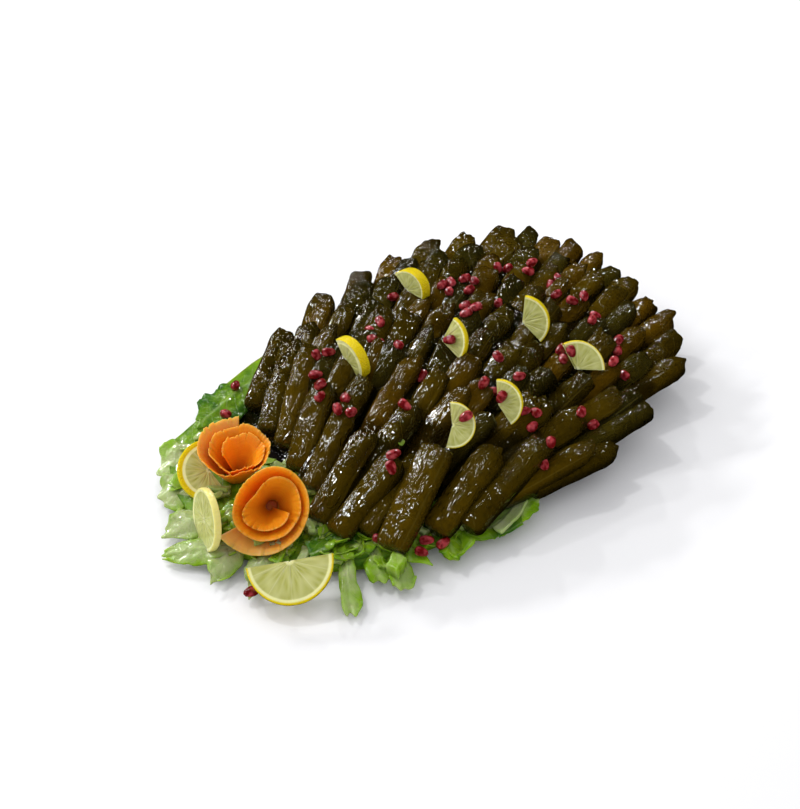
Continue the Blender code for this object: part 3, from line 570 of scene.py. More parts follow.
# Pomegranate flesh: thin wet skin over clear red juice, deep red where it is thick and pink over the kernel.
aril, tree, shader = finish("pomegranate seed flesh", Roughness=0.20, IOR=1.36, Coat_Weight=1.0,
                            Coat_Roughness=0.11, Subsurface_Weight=0.35, Subsurface_Scale=0.002,
                            Subsurface_Radius=(1.0, 0.15, 0.12))
place = add(tree, "Attribute", attribute_name="seed_place").outputs["Vector"]
cloud = add(tree, "TexNoise", {"Vector": place, "Scale": 0.28, "Detail": 2.0})
share = add(tree, "MapRange", {0: cloud, 1: 0.42, 2: 0.70})
red = add(tree, "Mix", {0: share, 6: srgb("#660409"), 7: srgb("#b9464c")}, data_type="RGBA")
feed(tree, shader, {"Base Color": red})

draw = random.Random(LAYOUT_SEED)
spots = []
for x, y, count in ARIL_CLUSTERS:
    start = draw.uniform(0, 2 * math.pi)
    for k in range(count):
        angle = start + 2 * math.pi * k / count
        reach = ARIL_SPREAD * (count > 1)
        spots.append((x + reach * math.cos(angle), y + reach * math.sin(angle)))
points, faces, inside = lay_seeds(spots, roll_surface, draw)
put("seeds_on_rolls", points, faces, aril, ["dolma_heap"], "vine_leaf", seed_place=inside)

# Lemon: a whole slice and nine parts of slices, 5 to 10 mm thick. Yellow zest with oil pores, a white pith,
# and flesh in ten segments of long juice sacs that meet at a white core. Three of them stand in the lettuce.
HEAP_LEMONS = (  # name, place, height over the rolls, facing, rise, turn, radius, sweep and thickness
    ("lemon_back", (78, 56), 2, 184, 12, 20, 15, 150, 10),
    ("lemon_left", (-14, 29), 1, 174, 2, 36, 17.5, 150, 8),
    ("lemon_middle", (39, -16), 2, 184, 28, 60, 19, 100, 5),
    ("lemon_right", (97, -41), 3, 205, 25, 62, 19, 130, 6),
    ("lemon_far_right", (92, -87), 2, 235, 40, 40, 20, 120, 5),
    ("lemon_front_right", (21, -79), 2, 205, 30, 62, 16.5, 150, 5),
    ("lemon_front", (-17, -71), 1, 225, 45, 97, 15.2, 200, 5),
)
BED_LEMONS = (  # the same, with the height over the table
    ("lemon_half", (-165, -61), 18, 222, 58, 170, 27, 180, 6),
    ("lemon_standing", (-165.5, 12.5), 34, 157, 13, 0, 20.5, 360, 5),
    ("lemon_behind_rose", (-145, 51), 20, 240, 52, -105, 21, 200, 7),
)
COMMON_RIND = (17.4, 18.7, 1.0)  # how far out the pith and the zest begin, and how strong its yellow is
RIND = {
    "lemon_behind_rose": (14.4, 16.2, 1.0), "lemon_left": (15.2, 18.7, 1.0),
    "lemon_standing": (17.2, 18.7, 0.4),
}
SLICE = 20.0  # the pattern is drawn for a slice of this radius
SEGMENTS = 10


def lemon_frame(centre, facing, rise, turn, radius):
    """The matrix that carries a slice to its place, with the middle of its sector at the centre."""
    facing, rise, turn = math.radians(facing), math.radians(rise), math.radians(turn)
    flat = math.cos(rise)
    normal = Vector((math.cos(facing) * flat, math.sin(facing) * flat, math.sin(rise)))
    side = Vector((0, 0, 1)).cross(normal).normalized()
    up = normal.cross(side)
    out = up * math.cos(turn) + side * math.sin(turn)
    axes = Matrix((out, normal.cross(out), normal)).transposed().to_4x4()
    return Matrix.Translation(Vector(centre) - out * radius / 2) @ axes


def lemon_slice(radius, sweep, thickness, draw):
    """A sector of a slice, or all of it: rows of points over one face, round the rind, over the other."""
    whole = sweep == 360
    half = math.radians(sweep) / 2
    across = 96 if whole else 61  # points round the rind
    angles = np.linspace(-half, half, across, endpoint=not whole)
    outward = (0.02, 0.06, 0.12, 0.2, 0.3, 0.4, 0.5, 0.6, 0.7, 0.78, 0.83, 0.855, 0.88, 0.91, 0.935, 0.955,
               0.975)
    start = draw.uniform(0, 1)
    sector = np.abs(np.sin(SEGMENTS / 2 * angles + start))
    columns = []
    for side in (1, -1):
        for share in outward[::side]:
            flesh = np.clip((0.84 - share) / 0.05, 0, 1) * np.clip((share - 0.08) / 0.06, 0, 1)
            pulp = flesh * (0.55 * np.clip(sector * share * 6, 0, 1) ** 0.5 - 0.35)
            columns.append((share, side * (thickness / 2 - 0.45 + pulp + 0.25 * (share > 0.9))))
        if side == 1:
            for share, height in ((0.99, 0.42), (1.0, 0.25), (1.0, 0.0), (1.0, -0.25), (0.99, -0.42)):
                columns.append((share, np.full(across, thickness * height)))
    points = np.stack([np.stack([radius * share * np.cos(angles), radius * share * np.sin(angles),
                                 np.broadcast_to(z, angles.shape)], axis=-1) for share, z in columns])
    rows = len(columns)
    k, n = np.meshgrid(np.arange(rows), np.arange(across if whole else across - 1), indexing="ij")
    after_k, after_n = (k + 1) % rows, (n + 1) % across
    corners = [k * across + n, after_k * across + n, after_k * across + after_n, k * across + after_n]
    quads = np.stack(corners, axis=-1).reshape(-1, 4).tolist()
    if not whole:  # the two cut walls
        for j in (0, across - 1):
            for k in range(len(outward) + 1):
                wall = [k, k + 1, rows - 2 - k, rows - 1 - k]
                quads.append([i * across + j for i in (wall if j == 0 else wall[::-1])])
            tip = [len(outward) + 1, len(outward) + 2, len(outward) + 3]
            quads.append([i * across + j for i in (tip if j == 0 else tip[::-1])])
    points = points.reshape(-1, 3)
    points = points + 0.12 * crumple(points, 4, start * 30)[:, None]
    return points, quads, points * (SLICE / radius, SLICE / radius, 1)


# Lemon flesh, pith and zest in one finish, told apart by how far a point lies from the slice's middle.
lemon, tree, shader = finish("lemon slice", Roughness=0.22, IOR=1.36, Coat_Weight=0.8, Coat_Roughness=0.04,
                             Subsurface_Weight=0.4, Subsurface_Scale=0.004, Subsurface_Radius=(1.0, 0.9, 0.4))
place = add(tree, "Attribute", attribute_name="slice_place").outputs["Vector"]
rind = add(tree, "Attribute", attribute_name="slice_rind").outputs["Vector"]
rind = add(tree, "SeparateXYZ", {0: rind})
flat = add(tree, "VectorMath", {0: place, 1: (1, 1, 0)}, operation="MULTIPLY")
radius = add(tree, "VectorMath", {0: flat}, operation="LENGTH").outputs["Value"]
parts = add(tree, "SeparateXYZ", {0: place})
angle = add(tree, "Math", {0: parts.outputs[1], 1: parts.outputs[0]}, operation="ARCTAN2")
turned = add(tree, "Math", {0: angle, 1: SEGMENTS / 2, 2: 0.4}, operation="MULTIPLY_ADD")
waved = add(tree, "Math", {0: turned}, operation="SINE")
spread = add(tree, "Math", {0: waved}, operation="ABSOLUTE")
gap = add(tree, "Math", {0: spread, 1: radius}, operation="MULTIPLY")
wall = add(tree, "MapRange", {0: gap, 1: 0.3, 2: 1.9, 3: 0.25, 4: 0.0}, interpolation_type="SMOOTHSTEP")
polar = add(tree, "CombineXYZ", {0: radius, 1: angle, 2: parts.outputs[2]})
sacs_at = add(tree, "VectorMath", {0: polar, 1: (0.16, 7.0, 0.25)}, operation="MULTIPLY")
sacs = add(tree, "TexVoronoi", {"Vector": sacs_at, "Scale": 1.0}, feature="SMOOTH_F1")
juice = add(tree, "Mix", {0: sacs, 6: srgb("#adae50"), 7: srgb("#d9d999")}, data_type="RGBA")
membrane = add(tree, "Mix", {0: wall, 6: juice, 7: srgb("#ecebbc")}, data_type="RGBA")
core = add(tree, "MapRange", {0: radius, 1: 1.4, 2: 2.6, 3: 1.0, 4: 0.0}, interpolation_type="SMOOTHSTEP")
past = add(tree, "Math", {0: radius, 1: rind.outputs[0]}, operation="SUBTRACT")
edge = add(tree, "MapRange", {0: past, 1: 0.0, 2: 0.8}, interpolation_type="SMOOTHSTEP")
white = add(tree, "Math", {0: core, 1: edge}, operation="MAXIMUM")
pith = add(tree, "Mix", {0: white, 6: membrane, 7: srgb("#ecebac")}, data_type="RGBA")
past = add(tree, "Math", {0: radius, 1: rind.outputs[1]}, operation="SUBTRACT")
zest = add(tree, "MapRange", {0: past, 1: 0.0, 2: 0.9}, interpolation_type="SMOOTHSTEP")
zest = add(tree, "Math", {0: zest, 1: rind.outputs[2]}, operation="MULTIPLY")
skin = add(tree, "Mix", {0: zest, 6: pith, 7: srgb("#e6cd12")}, data_type="RGBA")
pores = add(tree, "TexVoronoi", {"Vector": place, "Scale": 0.8})
height = add(tree, "Mix", {0: zest, 2: sacs, 3: pores}, data_type="FLOAT")
bump = add(tree, "Bump", {"Height": height, "Strength": 0.7, "Distance": 0.0009})
feed(tree, shader, {"Base Color": skin, "Normal": bump})

draw = random.Random(5)
lemons = [(heap_top(*piece[1]), *piece) for piece in HEAP_LEMONS] + [(0, *piece) for piece in BED_LEMONS]
for base, name, spot, height, facing, rise, turn, radius, sweep, thickness in lemons:
    points, faces, inside = lemon_slice(radius, sweep, thickness, draw)
    stand = lemon_frame((*spot, height + base), facing, rise, turn, radius)
    put(name.replace("lemon", "slice"), placed(points, stand), faces, lemon, [name], "lemon_slice",
        slice_place=inside, slice_rind=np.tile(RIND.get(name, COMMON_RIND), (len(points), 1)))
    if name in LEMON_ARILS:  # a seed that sticks to the flesh
        out, across = LEMON_ARILS[name]
        shape, quads = seed_shape(draw)
        turned = Matrix.Rotation(math.atan2(across, out), 4, "Z")
        where = Matrix.Translation((out, across, thickness / 2 + 2.0)) @ turned
        put(name.replace("lemon", "seed_on"), placed(placed(shape, where), stand), quads, aril, [name],
            "lemon_slice", seed_place=shape + draw.uniform(0, 90))

# The carrot roses: long ribbons cut with a peeler and wound into cups. The ribbon is about 1 mm thick, its
# cut edges are ragged, and the outer turns flare out and pale where they are thinnest.
FLARE_FROM = 0.86  # the share of the winding from which the ribbon flares out
ROSE_HEIGHT = 28
ROSE_FOOT = 0.38  # how wide the cup's foot is, as a share of its size
ROSE_FACING = 222
PEEL_THICKNESS = 1.1
PEEL_ROUGHNESS = 1.6
PEEL_STEPS, PEEL_LEVELS = 150, 14  # points along each turn, and up the ribbon
HEART_FOLD = ((0.05, 0.2), (0.14, 0.4), (0.17, 1.2), (0.1, 1.0), (0.02, 0.8))
HEART_STEPS = 24
ROSES = (  # name, foot and tilt, then what peel_ribbon takes
    ("carrot_rose_left", (-119, 38.5, 12.5), 6, 25, 2, 2.3, 11.5, 178, 4.5, 0, 0),
    ("carrot_rose_right", (-128, -3, 17), 42, 28, 7, 2.35, 14, 304, 0, 0.65, 225),
)


def peel_ribbon(size, flare, turns, heart, finish_way, lean, press, press_way):
    """A strip wound outwards from the heart, with a wavy and torn upper edge."""
    steps = round(turns * PEEL_STEPS)
    flare_rate = 1 / (1 - FLARE_FROM)
    rings, strip, run = [], [], 0
    for k in range(steps + 1):
        share = k / steps
        angle = math.radians(finish_way) + 2 * math.pi * turns * (1 - share)
        foot = ROSE_FOOT * size * (0.12 + 0.88 * share)
        reach = heart + (size - heart) * share**0.8 + flare * max(0, share - FLARE_FROM) * flare_rate
        reach *= 1 - press * (1 - share) * max(0, math.cos(angle - math.radians(press_way))) ** 2
        run += reach * 2 * math.pi * turns / steps
        torn = 1.1 * noise.noise(Vector((run / 6, size, 0))) + 2.0 * noise.noise(Vector((run / 1.7, size, 5)))
        torn -= 6.0 * max(0, noise.noise(Vector((run / 1.9, size, 9))) - 0.12)
        outer, inner = [], []
        for j in range(PEEL_LEVELS + 1):
            level = j / PEEL_LEVELS
            radius = foot + (reach - foot) * level**0.92
            radius += 0.7 * level * noise.noise(Vector((run / 14, level * 2, size))) + 0.6 * level**8
            z = ROSE_HEIGHT * level * (0.86 + 0.14 * share) + PEEL_ROUGHNESS * math.sin(5 * angle) * level
            z += torn * level**6
            y = lean * (1 - share) * level
            half = PEEL_THICKNESS / 2 * (1 - 0.6 * level**8)
            outer.append(((radius + half) * math.cos(angle), y + (radius + half) * math.sin(angle), z))
            inner.append(((radius - half) * math.cos(angle), y + (radius - half) * math.sin(angle), z))
            strip.append((run, level * ROSE_HEIGHT, share))
        rings.append(np.array(outer + inner[::-1]))
        strip += strip[-PEEL_LEVELS - 1:][::-1]
    around = 2 * PEEL_LEVELS + 2
    points = np.concatenate(rings)
    faces = tube_faces(len(rings), around).tolist() + end_faces(len(points), around)
    # The ribbon's inner end is folded over the foot and closes the heart.
    theta = 2 * math.pi * np.arange(HEART_STEPS) / HEART_STEPS
    fold = np.concatenate([
        np.column_stack([r * size * np.cos(theta), r * size * np.sin(theta), np.full(HEART_STEPS, z)])
        for r, z in HEART_FOLD])
    fold[:, 2] += 1.2 * crumple(fold, 3, size) * (fold[:, 2] > 0.6)
    faces += tube_faces(len(HEART_FOLD), HEART_STEPS, len(points)).tolist()
    faces += end_faces(len(fold), HEART_STEPS, len(points))
    # The fold's strip places set it deepest, so it takes the full painted shade of the cup.
    strip += [(x, -8.0, 0.0) for x, _, _ in fold]
    return np.concatenate([points, fold]), faces, np.array(strip)


# Raw carrot: dense wet flesh, evenly orange and a little translucent, with fine streaks along the ribbon.
carrot, tree, shader = finish("raw carrot peel", Roughness=0.42, IOR=1.40, Coat_Weight=0.12,
                              Coat_Roughness=0.25, Subsurface_Weight=0.5, Subsurface_Scale=0.005,
                              Subsurface_Radius=(1.0, 0.45, 0.05))
place = add(tree, "Attribute", attribute_name="strip_place").outputs["Vector"]
long = add(tree, "VectorMath", {0: place, 1: (0.05, 0.9, 0)}, operation="MULTIPLY")
streaks = add(tree, "TexNoise", {"Vector": long, "Scale": 1.0, "Detail": 4.0, "Roughness": 0.6})
streak_share = add(tree, "MapRange", {0: streaks, 1: 0.3, 2: 0.7})
orange = add(tree, "Mix", {0: streak_share, 6: srgb("#ee8609"), 7: srgb("#f89818")}, data_type="RGBA")
parts = add(tree, "SeparateXYZ", {0: place})
patch = add(tree, "TexNoise", {"Vector": place, "Scale": 0.06, "Detail": 2.0})
outer = add(tree, "Math", {0: patch, 1: 0.12, 2: parts.outputs[2]}, operation="MULTIPLY_ADD")
outer = add(tree, "MapRange", {0: outer, 1: 0.88, 2: 1.04, 3: 0.0, 4: 0.7}, interpolation_type="SMOOTHSTEP")
rim = add(tree, "MapRange", {0: parts.outputs[1], 1: 26.5, 2: 28.0, 3: 0.0, 4: 0.22},
          interpolation_type="SMOOTHSTEP")
thin = add(tree, "Math", {0: outer, 1: rim}, operation="MAXIMUM")
skin = add(tree, "Mix", {0: thin, 6: orange, 7: srgb("#dda558")}, data_type="RGBA")
# Painted shade: low in the cup, towards the heart and over the folded heart the orange is painted dark
# orange-brown, where shade falls inside the rose.
deep = add(tree, "MapRange", {0: parts.outputs[1], 1: -8.0, 2: 17.0, 3: 1.0, 4: 0.0},
           interpolation_type="SMOOTHSTEP")
heart = add(tree, "MapRange", {0: parts.outputs[2], 1: 0.35, 2: 0.8, 3: 1.0, 4: 0.25})
deep = add(tree, "Math", {0: deep, 1: heart}, operation="MULTIPLY")
skin = add(tree, "Mix", {0: deep, 6: skin, 7: srgb("#9c4202")}, data_type="RGBA")
bump = add(tree, "Bump", {"Height": streaks, "Strength": 0.3, "Distance": 0.0004})
feed(tree, shader, {"Base Color": skin, "Normal": bump})

for name, foot, tilt, *winding in ROSES:
    points, faces, strip = peel_ribbon(*winding)
    stand = Matrix.Translation(foot) @ Matrix.Rotation(math.radians(ROSE_FACING), 4, "Z")
    points = placed(points, stand @ Matrix.Rotation(math.radians(tilt), 4, "Y"))
    put(name.replace("carrot_rose", "peel_rose"), points, faces, carrot, [name], "carrot_peel",
        strip_place=strip)

# The lettuce: whole and torn leaves of cos lettuce along the rim and under the roses. Each leaf has a pale
# crisp rib, side veins, a crinkled blade that darkens to its frilled edge. The finest shreds are cut strips.
RIM_STEPS = 30  # steps of the ridge round the whole dish
RIDGE_FROM, RIDGE_SPILLS, RIDGE_TO = 8, 12, 23  # the steps at which it begins, spills over and ends
RIDGE_FINE = 4
RIDGE_SPILL = 9  # how far it spills over the rim
RIM_SHOWS = 4  # how wide the dish's rim shows before it spills
RIDGE_TOP = 13
RIDGE_WIDTH = 28
MOUND_CENTRE = (-121, 8)
MOUND_HALF = (35, 60)
MOUND_LEVELS = ((1, WELL_HEIGHT + 0.4), (3, 8), (6, 10.4), (10, 12), (14, 13))
MOUND_STEPS = 60
LEAF_THICKNESS = 0.9
LEAF_ROWS, LEAF_COLUMNS = 46, 26
PIECE_ROWS, PIECE_COLUMNS = 9, 7
LEAVES = (  # stem, heading, rise, length, width, droop, wave, narrowing and tone
    ((-38, 105, 10), 189, 5, 68, 34, 2, 3, 0.8, 0.95),
    ((-112, 68, 11), 155, 6, 40, 38, 6, 4, 0.7, 0.25),
    ((-140, 52, 11), 150, 3, 28, 30, 5, 3, 0.65, 0.15),
    ((-152, 26, 11), 158, 2, 34, 23, 6, 3, 0.75, 0.12),
    ((-163, -8, 10), 134, 0, 48, 20, 5, 3, 0.83, 0.25),
    ((-160, -4, 10), 200, 2, 34, 20, 6, 3, 0.88, 0.12),
    ((-150, -24, 11), 205, 0, 36, 18, 6, 3, 0.88, 0.15),
    ((-134, -36, 11), 312, 10, 30, 20, -2, 3, 0.6, 0.7),
    ((-128, -62, 10), 342, 10, 30, 16, 2, 2, 0.6, 0.75),
    ((-124, -66, 10), 229, 2, 42, 13, 6, 2, 0.45, 0.3),
    ((-108, -72, 10), 240, 6, 26, 16, 5, 2, 0.5, 0.5),
    ((-98, -84, 9), 235, 6, 30, 17, 5, 2, 0.5, 0.35),
    ((-66, -98, 9), 240, 10, 22, 16, 4, 2, 0.6, 0.7),
    ((-60, -106, 9), 333, 3, 36, 16, 3, 2, 0.6, 0.7),
    ((-46, -116, 9), 352, 5, 45, 22, 0, 2, 0.55, 0.4),
)


def sheet(rows, columns, spot_of, thickness):
    """A thin closed blade: both faces of a grid and the strip round its edge. spot_of gives (x, y, z)."""
    grid = np.array([(i / rows, -1 + 2 * j / columns) for i in range(rows + 1) for j in range(columns + 1)])
    middle = np.array([spot_of(share, across) for share, across in grid])
    width, count = columns + 1, len(grid)
    i, j = np.meshgrid(np.arange(rows), np.arange(columns), indexing="ij")
    a = (i * width + j).ravel()
    up = np.stack([a, a + width, a + width + 1, a + 1], axis=-1)
    rim = [*range(width), *[width * k + columns for k in range(1, rows + 1)]]
    rim += range(rows * width + columns - 1, rows * width - 1, -1)
    rim = np.array([*rim, *[width * k for k in range(rows - 1, 0, -1)]])
    after = np.roll(rim, -1)
    wall = np.stack([rim, after, after + count, rim + count], axis=-1)
    half = np.array((0, 0, thickness / 2))
    faces = np.concatenate([up, up[:, ::-1] + count, wall])
    return np.concatenate([middle + half, middle - half]), faces, np.concatenate([grid, grid])


def lettuce_leaf(length, width, droop, wave, narrow, seed):
    """A leaf along +X with a narrow stem, uneven lobes along its sides and a frilled edge."""
    def spot_of(share, across):
        side, out = math.copysign(3, across), abs(across)
        along = share * length
        half = width / 2 * (0.25 + 0.75 * max(math.sin(math.pi * (0.12 + share * narrow)), 0) ** 0.7)
        lobes = 0.30 * noise.noise(Vector((along / 13, side, seed)))
        lobes += 0.05 * noise.noise(Vector((along / 4, side, seed)))
        half *= 1 + (lobes + 0.02) * out**1.5
        curl = wave * math.sin(2.5 * across + 4.2 * share) * (0.3 + 0.7 * across * across)
        z = -droop * share * share + curl
        z += 1.8 * out**4 * noise.noise(Vector((along / 5.5, side, seed + 7)))
        z += 1.0 * noise.noise(Vector((along / 7, half * across / 5, seed)))
        z += 0.35 * noise.noise(Vector((along / 3.2, half * across / 3.2, seed + 3)))
        z += 0.9 * max(0, 1 - out * 5) * (1 - share)
        tip = 0.16 * out**1.6 + 0.16 * noise.noise(Vector((across * 1.8, seed, 1)))
        return along * (1 - tip * share**3), half * across, z
    return sheet(LEAF_ROWS, LEAF_COLUMNS, spot_of, LEAF_THICKNESS)


def torn_piece(length, width, curl, seed, thickness):
    """A small cut piece, curled along its length. A thick one is a piece of a leaf's rib."""
    def spot_of(share, across):
        side = math.copysign(2, across)
        x = length * (share - 0.5) + 0.14 * width * across + 0.8 * noise.noise(Vector((across * 2, seed, 0)))
        y = width / 2 * across * (0.85 + 0.5 * noise.noise(Vector((share * 2.3, seed, side))))
        z = curl * ((2 * share - 1) ** 2 - 0.4) + 0.35 * curl * across * across
        return x, y, z + 0.8 * noise.noise(Vector((x / 4, y / 4, seed)))
    return sheet(PIECE_ROWS, PIECE_COLUMNS, spot_of, thickness)


# Cos lettuce: waxy, wet and thin, so light passes through the blade. Dark green at the leaf's edge, yellow
# green to almost white along the rib, with fine veins 4 mm apart that stand out pale.
green, tree, shader = finish("cos lettuce leaf", Roughness=0.30, IOR=1.42, Coat_Weight=0.5,
                             Coat_Roughness=0.06, Subsurface_Weight=0.5, Subsurface_Scale=0.004,
                             Subsurface_Radius=(0.7, 1.0, 0.3))
blade = add(tree, "Attribute", attribute_name="blade_place").outputs["Vector"]
tone = add(tree, "Attribute", attribute_name="blade_tone").outputs["Fac"]
where = add(tree, "TexCoord").outputs["Object"]
parts = add(tree, "SeparateXYZ", {0: blade})
side = add(tree, "Math", {0: parts.outputs[1]}, operation="ABSOLUTE")
cloud = add(tree, "TexNoise", {"Vector": where, "Scale": 90.0, "Detail": 4.0, "Roughness": 0.6})
run = add(tree, "Math", {0: parts.outputs[0], 1: side}, operation="SUBTRACT")
run = add(tree, "Math", {0: cloud, 1: 9.0, 2: run}, operation="MULTIPLY_ADD")
vein = add(tree, "Math", {0: run, 1: 4.0}, operation="PINGPONG")
vein = add(tree, "MapRange", {0: vein, 1: 0.0, 2: 0.4, 3: 1.0, 4: 0.0}, interpolation_type="SMOOTHSTEP")
rib = add(tree, "MapRange", {0: side, 1: 0.4, 2: 1.8, 3: 1.0, 4: 0.0}, interpolation_type="SMOOTHSTEP")
deep = add(tree, "MapRange", {0: cloud, 1: 0.3, 2: 0.7, 3: -0.22, 4: 0.22})
deep = add(tree, "Math", {0: deep, 1: tone})
fresh = add(tree, "MapRange", {0: deep, 1: 0.0, 2: 0.5})
dark = add(tree, "MapRange", {0: deep, 1: 0.5, 2: 1.0})
leaf = add(tree, "Mix", {0: fresh, 6: srgb("#a6b17c"), 7: srgb("#80a614")}, data_type="RGBA")
leaf = add(tree, "Mix", {0: dark, 6: leaf, 7: srgb("#356308")}, data_type="RGBA")
pale = add(tree, "Math", {0: vein, 1: rib}, operation="MAXIMUM")
pale = add(tree, "Math", {0: pale, 1: 0.22}, operation="MULTIPLY")
skin = add(tree, "Mix", {0: pale, 6: leaf, 7: srgb("#b6c688")}, data_type="RGBA")
crinkle = add(tree, "TexNoise", {"Vector": where, "Scale": 260.0, "Detail": 2.0})
height = add(tree, "Math", {0: vein, 1: -0.25, 2: crinkle}, operation="MULTIPLY_ADD")
bump = add(tree, "Bump", {"Height": height, "Strength": 0.6, "Distance": 0.0012})
feed(tree, shader, {"Base Color": skin, "Normal": bump})

rings = []
for number in range((RIDGE_TO - RIDGE_FROM) * RIDGE_FINE + 1):
    step = RIDGE_FROM + number / RIDGE_FINE
    swell = math.sin(math.pi * (step - RIDGE_FROM + 0.6) / (RIDGE_TO - RIDGE_FROM + 1.2)) ** 0.5
    top = DISH_HEIGHT + 1.6 + (RIDGE_TOP - DISH_HEIGHT - 1.6) * swell
    blend = min(max((step - RIDGE_SPILLS + 1), 0), 1)
    edge = RIM_SHOWS * (1 - blend) - RIDGE_SPILL * swell * blend
    over, well = DISH_HEIGHT + 0.4, WELL_HEIGHT + 0.4
    profile = (
        (edge, over - (over - WELL_HEIGHT) * blend), (max(-1.4, edge + 0.4), over),
        (max(3.2, edge + 0.8), over), (RIM_WIDTH + 1, well), (RIDGE_WIDTH, well),
        (RIDGE_WIDTH - 1, top - 1.5), (18, top - 0.7), (8, top - 0.5), (2, top - 1.6),
        (edge + 1.5, DISH_HEIGHT + (top - DISH_HEIGHT) * 0.6),
    )
    whole, part = int(step), step - int(step)
    ring = []
    for inset, z in profile:
        spots = dish_ring(inset, z, RIM_STEPS)
        ring.append(spots[whole % RIM_STEPS] * (1 - part) + spots[(whole + 1) % RIM_STEPS] * part)
    rings.append(np.array(ring))
ridge = np.concatenate(rings)
ridge[:, 2] += 0.9 * crumple(ridge, 6, 2) * (ridge[:, 2] > DISH_HEIGHT + 1)
mound = np.concatenate([
    np.column_stack([oval(MOUND_CENTRE, MOUND_HALF, inset, steps=MOUND_STEPS), np.full(MOUND_STEPS, z)])
    for inset, z in MOUND_LEVELS])
mound[:, 2] += 0.7 * crumple(mound, 7, 4) * (mound[:, 2] > 9)
bed = np.concatenate([ridge, mound])
bed_faces = tube_faces(len(rings), len(profile)).tolist() + end_faces(len(ridge), len(profile))
bed_faces += tube_faces(len(MOUND_LEVELS), MOUND_STEPS, len(ridge)).tolist()
bed_faces += end_faces(len(mound), MOUND_STEPS, len(ridge))
put("lettuce_bed", bed, bed_faces, green, ["lettuce"], "lettuce_leaf",
    blade_place=bed, blade_tone=np.full(len(bed), 0.75))

leaves = []
for number, (stem, heading, rise, length, width, droop, wave, narrow, tone) in enumerate(LEAVES):
    shape, quads, grid = lettuce_leaf(length, width, droop, wave, narrow, number * 3.7)
    turn = Matrix.Rotation(math.radians(heading), 4, "Z") @ Matrix.Rotation(math.radians(-rise), 4, "Y")
    place = np.column_stack([grid[:, 0] * length, grid[:, 1] * width / 2, grid[:, 0] * 0])
    tones = tone - 0.2 + 0.35 * np.abs(grid[:, 1]) ** 3 + 0.1 * grid[:, 0]
    leaves.append((placed(shape, Matrix.Translation(stem) @ turn), quads, place, tones))
points, faces, places, tones = joined(leaves)
put("lettuce_leaves", points, faces, green, ["lettuce"], "lettuce_leaf", blade_place=places, blade_tone=tones)
under = np.concatenate([bed, points])
under_faces = bed_faces + (faces + len(bed)).tolist()
leaf_surface = BVHTree.FromPolygons(under.tolist(), under_faces)

# The same lettuce, chopped: bright pieces of blade, short curls of darker leaf and thick pale pieces of rib,
# heaped on each other. A fleck of it has dropped on the rolls.
CHOPPED = 250
ON_RIDGE = 0.6  # the share of the pieces that lie on the ridge, the others lie on the mound
CHOP_SPREAD = (33, 57)  # how far from the mound's middle the pieces lie
ROSE_ROOM = 20  # no piece lies nearer to the middle of a rose's foot
FEW_FROM = (-100, 24)  # beyond this corner they leave the large pale leaves almost bare
FLECK_PLACE = (-45, -42)
LAID_PIECES = (  # laid one by one: place, heading, length, width, curl, thickness and tone
    ((-127, -51), 350, 26, 15, 2.5, 0.8, 1.0), ((-121, -66), 330, 20, 14, 4, 0.8, 0.7),
    ((-100, -68), 300, 17, 12, 3, 0.8, 0.6), ((-110, -96), 20, 12, 11, 0, 8, 0.42),
    ((-98, -78), 30, 14, 13, 1, 4, 0.4), ((-86, -92), 222, 32, 17, 1, 1, 0.5),
    ((-122, -60), 320, 24, 13, 3, 0.8, 0.5), ((-28, -122), 8, 34, 9, 2, 2.2, 0.05),
    ((-34, -125), 350, 20, 9, 2, 0.8, 0.9), ((-68, -112), 10, 20, 14, 3, 0.8, 0.6),
    ((-113, -85), 60, 9, 7, 1, 2.0, 0.4), ((-128, -82), 10, 16, 10, 2, 0.8, 0.6),
    ((-143, 18), 80, 14, 9, -3, 0.8, 0.4), ((-137, 30), 40, 10, 8, 1, 2.5, 0.15),
    ((-157, -19), 200, 16, 9, 3, 0.8, 0.35), ((-150, -36), 240, 15, 8, -2, 0.8, 0.4),
)
CUTS = (  # share of the pieces, length, width, curl, thickness and tone, each from one value to another
    (0.34, (9, 15), (6, 11), (-3, 3), (0.7, 1.0), (0.30, 0.55)),
    (0.28, (9, 18), (6, 12), (-3.5, 3.5), (0.6, 0.8), (0.50, 0.80)),
    (0.28, (7, 14), (4.5, 8), (-1, 1), (2.4, 4.2), (0.05, 0.3)),
    (0.10, (8, 15), (6, 12), (-2, 4), (0.6, 0.8), (0.85, 1.05)),
)
draw = random.Random(21)
pieces = [(spot, heading, (length, width, curl, thickness), tone)
          for spot, heading, length, width, curl, thickness, tone in LAID_PIECES]
while len(pieces) < CHOPPED:
    if draw.random() < ON_RIDGE:
        step = draw.uniform(RIDGE_SPILLS - 0.4, RIDGE_TO - 0.4)
        spot = dish_ring(draw.uniform(-5, 20), 0, RIM_STEPS * 10)[int(step * 10)][:2]
    else:
        angle, reach = draw.uniform(0, 2 * math.pi), math.sqrt(draw.random())
        spot = (MOUND_CENTRE[0] + CHOP_SPREAD[0] * reach * math.cos(angle),
                MOUND_CENTRE[1] + CHOP_SPREAD[1] * reach * math.sin(angle))
    _, *ranges = draw.choices(CUTS, [cut[0] for cut in CUTS])[0]
    length, width, curl, thickness, tone = [draw.uniform(*limits) for limits in ranges]
    pieces.append((spot, draw.uniform(0, 360), (length, width, curl, thickness), tone))
shreds, laid = [], []
